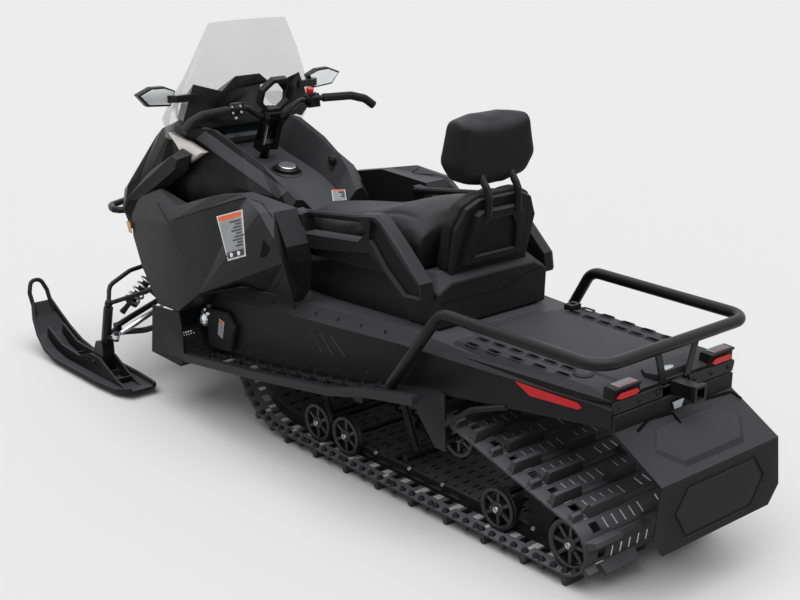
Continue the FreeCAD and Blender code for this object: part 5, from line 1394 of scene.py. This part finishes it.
@dataclass
class Tunnel(SubAssembly):
    """The sheet tunnel with its footboards, braces, rear plates, hitch and snow flap."""

    title: str = "tunnel"
    skins: dict[str, tuple] = field(default_factory=lambda: {
        "tunnel": (SHEET, 2.5), "running_boards": (TREADPLATE, 1.6), "board_braces": (POWDER, 1.5),
        "rear_plates": (POWDER, 1.4), "hitch_receiver": (POWDER, 1.6), "snow_flap": (MOULDED, 3.0)})
    half: float = 324.0
    half_rear: float = 265.0
    taper_from_x: float = -620.0
    taper_length: float = 813.0
    board_levels: tuple = ((435.0, 243.0), (-20.0, 303.0), (-425.0, 366.0), (-620.0, 418.0))
    board_thick: float = 4.0
    rear_x: float = -1440.0
    upper_bolts: tuple[float, ...] = (420.0, 300.0, 180.0, 60.0, -60.0, -180.0, -300.0, -420.0, -540.0)
    lower_bolts: tuple[float, ...] = (280.0, 130.0, -20.0, -170.0, -320.0, -470.0)
    tooth_columns: tuple[float, ...] = (10.0, 34.0, 60.0, 86.0)
    tooth_rows: tuple[float, float, float] = (370.0, -560.0, 84.0)
    slashes: tuple = (((312, 333), (322, 352)), ((321, 334), (333, 355)), ((331, 336), (345, 357)))
    flap_strokes: tuple = (((637.6, 431.6), (648.8, 419.2), (672.4, 413.0), (679.9, 422.9)),
                           ((701.0, 400.5), (730.8, 392.0), (741.0, 398.5)))
    reflector: tuple = ((-1094.0, 562.0), (-1318.0, 560.0), (-1334.0, 549.0), (-1318.0, 540.0), (-1150.0, 533.0))

    def board_top(self, x: float) -> float:
        """Gives the footboard's level at a place along the machine.

        Args:
            x: The place, in millimetres.

        Returns:
            The height of the board's upper face.
        """
        for (xa, za), (xb, zb) in zip(self.board_levels, self.board_levels[1:]):
            if x >= xb:
                return za + (zb - za) * (xa - x) / (xa - xb) + self.board_thick
        return self.board_levels[-1][1] + self.board_thick

    def side_at(self, x: float) -> float:
        """Gives how far out the tunnel's side stands at a place along the machine, half a millimetre in.

        Args:
            x: The place, in millimetres.

        Returns:
            The distance from the middle.
        """
        share = max(0.0, (self.taper_from_x - x) / self.taper_length)
        return self.half + (self.half_rear - self.half) * share - 0.5

    def detail(self) -> None:
        """Adds bolts, pressed slashes, tread teeth, the reflector and the rear's fittings."""
        upper = [((x, self.half - 17.0, 468.0 + 0.083 * (435.0 - x) + 22.0), (0.0, 0.77, 0.64))
                 for x in self.upper_bolts]
        lower = [((x, self.half, self.board_top(x) + 34.0), LEFT) for x in self.lower_bolts]
        dress(both_sides(bolts("tunnel_bolts", upper + lower, 6.0)), POWDER)
        slashes = [bead(f"slash_{index}", SIGHT.line(self.made["tunnel"], ends, 0.4), 2.4)
                   for index, ends in enumerate(self.slashes)]
        dress(both_sides(joined("tunnel_slashes", slashes)), SHEET)
        self.tread()
        lens = plate("side_reflector", [(x, self.side_at(x), z) for x, z in self.reflector], 4.0, LEFT, 1.0)
        dress(both_sides(lens), LENS_RED)
        self.rear()

    def tread(self) -> None:
        """Adds the raised teeth of the footboards."""
        first, last, pitch = self.tooth_rows
        rows = range(math.ceil((first - last) / pitch))
        teeth = [placed((first - pitch * row + 11.0, self.half + out, self.board_top(first - pitch * row)))
                 for row in rows for out in self.tooth_columns]
        tooth = spool("tread_tooth", (0.0, 0.0, -2.0), (0.0, 0.0, 5.0), (7.0, 6.0, 4.5), 10, 0.4)
        dress(both_sides(repeated(tooth, "tread_teeth", teeth)), TREADPLATE)

    def rear(self) -> None:
        """Adds the rear plates' bolts, dark beads of painted shade along the flap's pressed rims, and the hitch's
        notch.
        """
        heads = [((self.rear_x, side * y, 574.0), REAR) for y in (82.0, 160.0, 240.0) for side in SIDES]
        dress(bolts("rear_plate_bolts", heads, 7.5), POWDER)
        # Dark beads of painted shade along the flap's rims.
        shade_beads = [bead(f"flap_rim_{index}", SIGHT.line(self.made["snow_flap"], stroke, 0.5), 5.0)
                for index, stroke in enumerate(self.flap_strokes)]
        dress(joined("flap_rim_shade", shade_beads), SHADOW)
        notch = [(self.rear_x - 8.0, y, z) for y, z in ((-26.0, 536.0), (26.0, 536.0), (16.0, 512.0), (-16.0, 512.0))]
        dress(plate("hitch_notch", notch, 2.0, REAR, 0.6), ZINC)


@dataclass
class FrontEnd(SubAssembly):
    """The skis, spindles, arms, shocks and tie rods."""

    title: str = "front end"
    skins: dict[str, tuple] = field(default_factory=lambda: {
        "ski_left": (MOULDED, 2.4), "ski_right": (MOULDED, 2.4), "spindle_left": (POWDER, 2.4),
        "spindle_right": (POWDER, 2.4), "tie_rod_left": (BARE, 2.4), "tie_rod_right": (BARE, 2.4),
        "lower_arms": (POWDER, 2.8), "upper_arms": (POWDER, 2.2), "front_frame": (POWDER, 3.0),
        "front_bumper": (POWDER, 3.0), "engine_block": (IRON, 5.0)})
    shock_top: Point = (868.0, 196.0, 535.0)
    shock_low: Point = (1012.0, 386.0, 251.0)
    shock: Damper = Damper(27.0, 5.0, 7, 19.0)
    shock_ends: tuple[float, float] = (16.0, 20.0)

    def detail(self) -> None:
        """Adds the front shocks with their springs."""
        high, low = Vector(self.shock_top), Vector(self.shock_low)
        way = (low - high).normalized()
        above, below = self.shock_ends
        body, spring = self.shock.build("front_shock", high + way * above, low - way * below)
        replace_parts(dress(both_sides(body), POWDER), "front_shocks")
        dress(both_sides(spring), ZINC)


def sloped_rim(at: Vector) -> Vector:
    """Leans the console's outer rim inwards behind the headlamps, so that its painted highlight band faces up.

    Args:
        at: A corner of the console, in millimetres.

    Returns:
        The corner's move, which fades out toward both ends of the rim.
    """
    share = max(0.0, min(1.0, (705.0 - at.x) / 110.0)) * max(0.0, min(1.0, (at.x - 120.0) / 120.0))
    if at.z < 905.0 - (560.0 - min(at.x, 560.0)) * 0.16 or abs(at.y) < 150.0:
        return Vector((0.0, 0.0, 0.0))
    inward = 46.0 if abs(at.y) > 219.0 else 24.0
    return Vector((0.0, -math.copysign(inward * share, at.y), 0.0))


@dataclass
class Bodywork(SubAssembly):
    """The hood, side panels, console, pan, screen, lamps and mirrors."""

    title: str = "bodywork"
    skins: dict[str, tuple] = field(default_factory=lambda: {
        "hood": (PANEL, 9.0), "side_panels": (PANEL, 9.0), "console": (PANEL, 7.0, sloped_rim),
        "belly_pan": (MOULDED, 3.0), "headlamps": (REFLECTOR, 2.0), "windshield": (SCREEN, 0.0),
        "windshield_shroud": (TRIM, 6.0), "mirrors": (TRIM, 3.0), "fuel_cap": (TRIM, 2.5)})
    # Places in the picture, as pixels from its left and top edges.
    shut_edges: tuple = (((137, 193), (152, 193), (168, 222), (176, 219), (232, 201), (247, 198)),
                         ((247, 198), (262, 203), (276, 222), (284, 245), (289, 262)),
                         ((289, 262), (280, 280), (272, 292), (258, 290), (247, 288)))
    shut_start: int = 4
    label: tuple = ((216.5, 216.5), (242.5, 209.5), (246, 256), (228, 261))
    latch: tuple = ((263.5, 239), (270.5, 249), (266, 257), (260, 258))
    highlight_band: tuple = ((206, 131), (288, 191), (279, 199), (196, 139))
    decal: tuple = ((331.5, 190), (345, 189.5), (346.5, 200), (333, 201))
    window: tuple = ((259.7, 84.2), (268.4, 81.3), (277.9, 82.2), (283.7, 89.9), (282.7, 99.5), (276.0, 106.2),
                     (264.5, 106.2), (258.8, 95.7))
    # Sizes and places in millimetres.
    marker: tuple = ((1000.0, 330.0, 634.0), (962.0, 338.0, 640.0), (938.0, 346.0, 600.0), (968.0, 338.0, 596.0))
    cutter_from: float = 5050.0
    cutter_depth: float = 900.0
    mirror_x: float = 640.6
    mirror_face: tuple = ((309.0, 1183.0), (349.0, 1197.0), (399.0, 1199.0), (446.0, 1180.0), (413.0, 1146.0),
                          (329.0, 1138.0))
    dash_foot: Point = (653.6, 0.0, 958.4)
    dash_rise: Point = (34.0, 0.0, 66.0)
    mesh_foot: Point = (455.0, 0.0, 240.0)
    mesh_lean_deg: float = 23.0
    shield_y: float = 325.0
    shield: tuple = ((430.0, 420.0), (300.0, 432.0), (250.0, 380.0), (276.0, 290.0), (420.0, 268.0))
    shield_thick: float = 26.0
    shield_label: tuple = ((338.0, 402.0), (306.0, 396.0), (322.0, 330.0), (352.0, 338.0))

    def detail(self) -> None:
        """Adds shut lines, labels, latch, markers, glass and the display."""
        self.side_panel()
        self.cowl()
        self.shroud_window()
        # The mirror glass is partly a painted reflection of the pale sky.
        glass = plate("mirror_glass", [(self.mirror_x, y, z) for y, z in self.mirror_face], 3.4, REAR, 0.5)
        dress(both_sides(glass), MIRROR)
        self.display()
        self.vent()
        self.footwell()

    def side_panel(self) -> None:
        """Adds the shut line, the label, the kite-shaped latch as a film of painted shade, and the amber marker."""
        panel = self.made["side_panels"]
        rear, *others = [SIGHT.line(panel, edge, 0.3) for edge in self.shut_edges]
        dress(both_sides(bead("panel_shut_line", rear[self.shut_start:] + sum(others, []), 1.3)), SHADOW)
        corners = SIGHT.ring(panel, *self.label)
        outward = (Vector(corners[1]) - Vector(corners[0])).cross(Vector(corners[3]) - Vector(corners[0]))
        if outward.y < 0:
            outward = -outward
        for side, name in zip(SIDES, ("left", "right")):
            Label(f"panel_label_{name}", [(x, y * side, z) for x, y, z in corners],
                  (outward.x, outward.y * side, outward.z), panel).build()
        # The latch is a near-black film of painted shade for its recess.
        kite = Label("panel_latch", SIGHT.ring(panel, *self.latch), tuple(outward), panel)
        both_sides(kite.field("kite", WHOLE, WHOLE, 0.8, SHADOW))
        dress(both_sides(plate("side_marker", list(self.marker), 5.0, (0.3, 1.0, 0.0), 1.2)), LENS_AMBER)

    def cowl(self) -> None:
        """Adds the headlamp's lens, the console's painted highlight band and decal, and the fuel cap's ring and plate.
        """
        lens = copy_of_node("headlamps", "headlamp_lens")
        with chosen(lens, Part.FACE, every):
            bpy.ops.transform.shrink_fatten(value=1.2 * MM)
        dress(round_edges(lens, 2.0), LAMP_GLASS)
        console = self.made["console"]
        # A paler film on the console's rim paints the light that falls on it from above.
        highlight_band = Label("console_highlight_band", SIGHT.ring(console, *self.highlight_band), (-0.2, 0.9, 0.4), console)
        both_sides(highlight_band.field("rim", WHOLE, WHOLE, 2.2, HIGHLIGHT_BAND, 8))
        Label("console_decal", SIGHT.ring(console, *self.decal), tuple(-SIGHT.gaze()), console, 3, False, 0.5).build()
        lid = spool("fuel_cap_lid", (382.0, 0.0, 909.0), (381.2, 0.0, 912.6), (34.0, 34.0, 31.0), 40, 0.5)
        dress(lid, BARE)
        collar = turned("fuel_cap_ring", [(0, 52), (0, 62), (5, 60), (7, 53)], (388.0, 0.0, 884.0),
                        (366.0, 0.0, 984.0), 48)
        dress(collar, TRIM)

    def shroud_window(self) -> None:
        """Opens the shroud behind the bar's hoop, where the photograph shows the pale screen."""
        near = [Vector(SIGHT.eye) / MM + SIGHT.ray(*place) * self.cutter_from for place in self.window]
        opening = plate("window_cutter", [tuple(point) for point in near], self.cutter_depth, tuple(SIGHT.gaze()))
        rework(self.made["windshield_shroud"], "BOOLEAN", object=opening, solver="EXACT")
        bpy.data.objects.remove(opening)

    def display(self) -> None:
        """Adds the gauge's frame and its glass on the sloping dash."""
        slope = Vector(self.dash_rise).normalized()
        outward = Vector((-slope.z, 0.0, slope.x))

        def on_dash(places: list[tuple[float, float]], lift: float) -> list[Point]:
            """Gives places of the dash by their distances from its middle and foot, lifted off it."""
            return [tuple(Vector(self.dash_foot) + slope * up + Vector((0.0, y, 0.0)) + outward * lift)
                    for y, up in places]

        rim = plate("gauge_frame", on_dash([(-96, 4), (96, 4), (96, 70), (-96, 70)], 0.0), 6.0, tuple(outward), 2.0)
        with chosen(rim, Part.FACE, lambda middle, normal: normal.dot(outward) > 0.95):
            bpy.ops.mesh.inset(thickness=9.0 * MM)
            bpy.ops.mesh.extrude_region_shrink_fatten(TRANSFORM_OT_shrink_fatten={"value": -4.0 * MM})
        dress(rim, MOULDED)
        glass = on_dash([(-80, 20), (80, 20), (80, 59), (-80, 59)], 2.4)
        dress(plate("gauge_glass", glass, 0.6, tuple(outward), 0.2), DISPLAY)

    def vent(self) -> None:
        """Adds the wire mesh of the footwell's vent."""
        foot = metres(self.mesh_foot)
        lean = Matrix.Rotation(math.radians(self.mesh_lean_deg), 4, "Y")
        x, _, z = self.mesh_foot
        bars = []
        for index in range(9):
            y = 341.0 + index * 10.4
            bars.append(block(f"mesh_up_{index}", (x, y, z), (x + 4.0, y + 3.6, z + 96.0), 0.0))
            bars[-1].data.transform(Matrix.Translation(foot) @ lean @ Matrix.Translation(-foot))
        for index in range(8):
            rise = index * 9.4
            low = (x + 3.0 + rise * 0.38, 338.0, z + 22.0 + rise)
            bars.append(block(f"mesh_over_{index}", low, (low[0] + 4.0, 426.0, low[2] + 3.4), 0.0))
        dress(both_sides(joined("vent_mesh", bars)), MOULDED)

    def footwell(self) -> None:
        """Adds the heat shield with its label and the pressed fitting."""
        guard = plate("heat_shield", [(x, self.shield_y, z) for x, z in self.shield], self.shield_thick, LEFT, 9.0)
        dress(guard, MOULDED)
        face_y = self.shield_y + self.shield_thick + 0.5
        Label("shield_label", [(x, face_y, z) for x, z in self.shield_label], LEFT, None, 0, False).build()
        stem = spool("fitting_stem", (440.0, 345.0, 418.0), (440.0, 345.0, 350.0), (7.0, 12.0, 20.0, 25.0, 24.0, 14.0),
                     18, 1.2)
        cross = spool("fitting_cross", (452.0, 352.0, 398.0), (404.0, 345.0, 404.0), (6.0, 9.0, 9.0, 12.0, 7.0), 14,
                      0.8)
        cap = spool("fitting_cap", (440.0, 372.0, 372.0), (440.0, 350.0, 372.0), (12.0, 16.0), 16, 1.0)
        dress(joined("pressed_fitting", [stem, cross, cap]), BARE)


@dataclass
class Cockpit(SubAssembly):
    """The steering post, handlebar, grips, controls, hoop and gear lever."""

    title: str = "cockpit"
    skins: dict[str, tuple] = field(default_factory=lambda: {
        "steering_riser": (POWDER, 2.0), "hand_controls": (MOULDED, 2.0), "bar_hoop": (MOULDED, 5.0),
        "gear_lever": (TRIM, 2.6), "hand_grips": (GRIP, 3.6)})
    bar: tuple = ((463.4, 0.0, 1086.2), 11.0)
    bar_bend: float = 28.0
    bar_route: tuple = ((0.0, 56.0, 0.0), (-4.0, 118.0, 40.0), (-20.0, 200.0, 44.0), (-44.0, 335.0, 42.0),
                        (-58.0, 392.0, 26.0), (-66.0, 428.0, -2.0))
    # Places in the picture, as pixels from its left and top edges.
    keys: tuple = ((232, 107), (240, 106), (233, 113), (241, 112), (236, 118))
    riser_foot: Point = (526.0, 33.0, 926.0)
    riser_lean_deg: float = 22.0
    strip: tuple[float, float, float] = (64.0, 78.0, 21.0)

    def detail(self) -> None:
        """Adds the smooth bar, the switches, the stop button and the riser's bright strip."""
        (x, _, z), radius = self.bar
        half = [(x + ahead, y, z + rise) for ahead, y, rise in self.bar_route]
        route = [(px, -py, pz) for px, py, pz in reversed(half)] + half
        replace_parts(dress(tube("smooth_handlebar", route, radius, self.bar_bend), POWDER, "steering"), "handlebar")
        keys = []
        for index, (kx, ky, kz) in enumerate(SIGHT.ring(self.made["hand_controls"], *self.keys)):
            keys.append(block(f"key_{index}", (kx - 6, ky - 4, kz - 4), (kx + 2, ky + 4, kz + 4), 1.4))
        dress(joined("switch_keys", keys), BUTTON_PALE, "steering")
        stop = spool("stop_button", (x - 14.0, -160.0, z + 62.0), (x - 20.0, -160.0, z + 86.0),
                     (12.0, 12.0, 15.0, 14.0), 20, 1.2)
        dress(stop, BUTTON_RED, "steering")
        self.bright_strip()

    def bright_strip(self) -> None:
        """Adds the bright strip that lies along the left of the riser's rear face."""
        start, length, behind = self.strip
        sine, cosine = math.sin(math.radians(self.riser_lean_deg)), math.cos(math.radians(self.riser_lean_deg))
        foot_x, y, foot_z = self.riser_foot
        foot = Vector((foot_x - sine * start - cosine * behind, y, foot_z + cosine * start - sine * behind))
        head = foot + Vector((-sine, 0.0, cosine)) * length
        dress(tube("riser_strip", [tuple(foot), tuple(head)], 6.0), BARE, "steering")


@dataclass(frozen=True)
class Padding:
    """How a cushion is swelled: its grid, how much smaller it starts, and how far a point may move."""

    voxel: float
    shrink: float
    cap: float
    pressure: float = 2.0
    frames: int = 20


@dataclass
class Seating(SubAssembly):
    """The seat, the backrest with its shell, the headrest, the storage box and the grab handles."""

    title: str = "seating"
    skins: dict[str, tuple] = field(default_factory=lambda: {
        "seat_base": (MOULDED, 8.0), "storage_box": (MOULDED, 9.0), "backrest_shell": (MOULDED, 6.0),
        "grab_handles": (MOULDED, 6.0)})
    cushions: dict[str, Padding] = field(default_factory=lambda: {
        "rider_seat": Padding(8.0, 4.0, 6.0), "backrest_pad": Padding(6.0, 3.0, 5.0),
        "headrest_pad": Padding(6.0, 2.0, 3.0)})
    seat_side: tuple = ((120.0, 78.0, 800.0), (-60.0, 140.0, 832.0), (-260.0, 176.0, 872.0), (-400.0, 168.0, 908.0),
                        (-520.0, 168.0, 916.0))
    seat_cross: tuple = ((-270.0, -196.0, 860.0), (-300.0, -120.0, 892.0), (-310.0, 0.0, 896.0),
                         (-300.0, 120.0, 892.0), (-270.0, 196.0, 860.0))
    back_side: tuple = ((120.0, 790.0), (126.0, 900.0), (92.0, 985.0))
    # The lid's line, as pixels from the picture's left and top edges.
    lid_line: tuple = ((437, 308), (446, 302), (470, 297), (500, 289), (540, 266))

    def cushion(self, node: str, padding: Padding) -> Piece:
        """Swells a padded piece from its plain solid by a short cloth simulation.

        Args:
            node: The soft solid.
            padding: How it is swelled.

        Returns:
            The cushion.
        """
        piece = copy_of_node(node, node + "_cover")
        round_edges(piece, 12.0, 3)
        rework(piece, "REMESH", mode="VOXEL", voxel_size=padding.voxel * MM)
        with chosen(piece, Part.FACE, every):
            bpy.ops.transform.shrink_fatten(value=-padding.shrink * MM)
            bpy.ops.mesh.vertices_smooth(factor=0.5, repeat=3)
        self.swell(piece, padding)
        return piece

    def swell(self, piece: Piece, padding: Padding) -> None:
        """Runs the cloth simulation on a cushion and holds every point within its cap.

        Args:
            piece: The cushion.
            padding: How it is swelled.
        """
        before = [corner.co.copy() for corner in piece.data.vertices]
        cloth = piece.modifiers.new("stuffing", "CLOTH")
        cloth.settings.use_pressure = True
        cloth.settings.uniform_pressure_force = padding.pressure
        cloth.settings.effector_weights.gravity = 0.0
        cloth.point_cache.frame_start, cloth.point_cache.frame_end = 1, padding.frames
        for step in range(1, padding.frames + 1):
            bpy.context.scene.frame_set(step)
        select_only(piece)
        bpy.ops.object.modifier_apply(modifier=cloth.name)
        bpy.context.scene.frame_set(1)
        cap = padding.cap * MM
        for corner, start in zip(piece.data.vertices, before):
            move = corner.co - start
            if move.length > cap:
                corner.co = start + move.normalized() * cap
        with chosen(piece, Part.CORNER, every):
            bpy.ops.mesh.vertices_smooth(factor=0.5, repeat=6)

    def sew(self, piece: Piece, seams: list[list[Point]], depth: float, width: float) -> None:
        """Pulls a cushion in along its seams.

        Args:
            piece: The cushion.
            seams: Each seam's points, in millimetres.
            depth: How deep the seam lies.
            width: How far from the seam the cover is drawn in.
        """
        lines = [(metres(a), metres(b)) for seam in seams for a, b in zip(seam, seam[1:])]
        for corner in piece.data.vertices:
            nearest = 1.0
            for start, end in lines:
                way = end - start
                share = max(0.0, min(1.0, (corner.co - start).dot(way) / way.length_squared))
                nearest = min(nearest, (corner.co - (start + way * share)).length)
            pull = math.exp(-(nearest / (width * MM)) ** 2)
            if pull > 0.02:
                corner.co -= corner.normal * depth * MM * pull

    def finish_cushion(self, node: str, name: str) -> None:
        """Smooths a cushion once more, dresses it and lets it stand for its solid.

        Args:
            node: The soft solid.
            name: The cushion's name.
        """
        piece = self.made[node]
        rework(piece, "SUBSURF", levels=1, render_levels=1)
        bpy.ops.object.shade_smooth()
        piece.name = name
        dress(piece, VINYL)
        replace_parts(piece, node)

    def detail(self) -> None:
        """Makes the cushions with their seams, and the box's lid line."""
        for node, padding in self.cushions.items():
            self.made[node] = self.cushion(node, padding)
        seat, backrest = self.made["rider_seat"], self.made["backrest_pad"]
        self.sew(seat, [[(x, side * y, z) for x, y, z in self.seat_side] for side in SIDES], 5.0, 9.0)
        self.sew(seat, [list(self.seat_cross)], 4.0, 10.0)
        back = [[(-612.0 - 0.2 * (z - 760.0), side * y, z) for y, z in self.back_side] for side in SIDES]
        self.sew(backrest, back, 6.0, 10.0)
        self.finish_cushion("rider_seat", "rider_seat_cushion")
        self.finish_cushion("backrest_pad", "backrest_cushion")
        self.finish_cushion("headrest_pad", "headrest_cushion")
        dress(bead("box_lid_line", SIGHT.line(self.made["storage_box"], self.lid_line, 0.3), 1.3), SHADOW)


@dataclass
class Cargo(SubAssembly):
    """The cargo deck, its hoop and the tail lamps."""

    title: str = "cargo"
    skins: dict[str, tuple] = field(default_factory=lambda: {
        "cargo_deck": (MOULDED, 3.5),
        "tail_lamps": (MOULDED, 5.0, lambda at: Vector((0.0, 0.0, (592.0 - at.z) * 0.42 if at.z > 592.0 else 0.0)))})
    slot_rows: tuple = ((-880.0, -1232.0, 256.0, 234.0, 86.0), (-870.0, -1206.0, 202.0, 186.0, 66.0))
    slot: tuple[float, float] = (54.0, 21.0)
    slot_outline: tuple = ((-1, 0), (-0.72, 1), (0.72, 1), (1, 0), (0.72, -1), (-0.72, -1))
    rail: float = 606.0
    slot_shade_level: float = 598.2
    hoop: tuple = ((-640.0, 372.0, 436.0), (-822.0, 333.0, 707.0), (-1437.0, 327.0, 707.0))
    hoop_radius: float = 18.0
    hoop_bend: float = 70.0
    strut: tuple = ((72.0, 695.0), (98.0, 695.0), (64.0, 594.0), (38.0, 594.0))
    lens: tuple = ((-1435.0, 160.0, 603.0), (-1435.0, 176.0, 596.0), (-1435.0, 240.0, 596.0),
                   (-1435.0, 256.0, 603.0), (-1436.5, 240.0, 615.0), (-1436.5, 176.0, 615.0))
    lamp_y: float = 208.0
    lamp_label: tuple = ((-1438.0, 38.0), (-1438.0, -38.0), (-1408.0, -38.0), (-1408.0, 38.0))
    lamp_top: float = 634.0
    badge: Point = (-1398.0, 0.0, 618.0)

    def detail(self) -> None:
        """Adds slot lips, the smooth hoop with its struts, lamp lenses, labels and the bare oval plate."""
        self.slots()
        half = list(self.hoop)
        hoop = tube("smooth_hoop", half + [(x, -y, z) for x, y, z in reversed(half)], self.hoop_radius,
                    self.hoop_bend, 24)
        rear_x = self.hoop[-1][0]
        struts = [plate(f"strut_{side}", [(rear_x, side * y, z) for y, z in self.strut], 6.4, (1.0, 0.0, 0.0), 1.6)
                  for side in SIDES]
        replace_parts(dress(joined("smooth_rack_hoop", [hoop] + struts), POWDER), "rack_hoop")
        dress(both_sides(plate("tail_lens", list(self.lens), 6.0, (-1.0, 0.0, 0.1), 2.0)), LENS_RED)
        for side, name in zip(SIDES, ("left", "right")):
            ring = [(x, side * (self.lamp_y + y * side), self.lamp_top) for x, y in self.lamp_label]
            Label(f"lamp_label_{name}", ring, UP, self.made["tail_lamps"], 0, False).build()
        x, y, z = self.badge
        badge = spool("deck_badge", self.badge, (x, y, z + 1.4), (22.0, 22.0, 20.0), 36, 0.3)
        with chosen(badge, Part.CORNER, every):
            bpy.ops.transform.resize(value=(0.6, 1.5, 1.0), center_override=metres(self.badge))
        dress(badge, BARE)

    def slots(self) -> None:
        """Adds a raised lip round each slot of the deck, and a near-black plate of painted shade inside it."""
        lips, shade_plates = [], []
        length, width = self.slot
        for start, end, front, rear, pitch in self.slot_rows:
            count = int((start - end) / pitch) + 1
            for k in range(count):
                x, y = start - k * pitch, front + (rear - front) * k / (count - 1)
                ring = [(x + a * length / 2, y + b * width / 2) for a, b in self.slot_outline]
                lips.append(bead(f"lip_{len(lips)}", [(px, py, self.rail + 0.6) for px, py in ring], 3.0, True))
                # A near-black plate inside each slot paints the shade of the opening.
                shade_plates.append(plate(f"floor_{len(shade_plates)}", [(px, py, self.slot_shade_level) for px, py in ring], 0.6, UP))
        dress(both_sides(joined("deck_slot_lips", lips)), MOULDED)
        dress(both_sides(joined("deck_slot_shade", shade_plates)), SHADOW)


GROUPS = (TrackUnit, Tunnel, FrontEnd, Bodywork, Cockpit, Seating, Cargo)


def main() -> None:
    """Builds the studio and every sub-assembly in order."""
    logging.basicConfig(level=logging.INFO, format="%(name)s: %(message)s")
    Studio().build()
    for group in GROUPS:
        group().build()


if __name__ == "__main__":
    main()
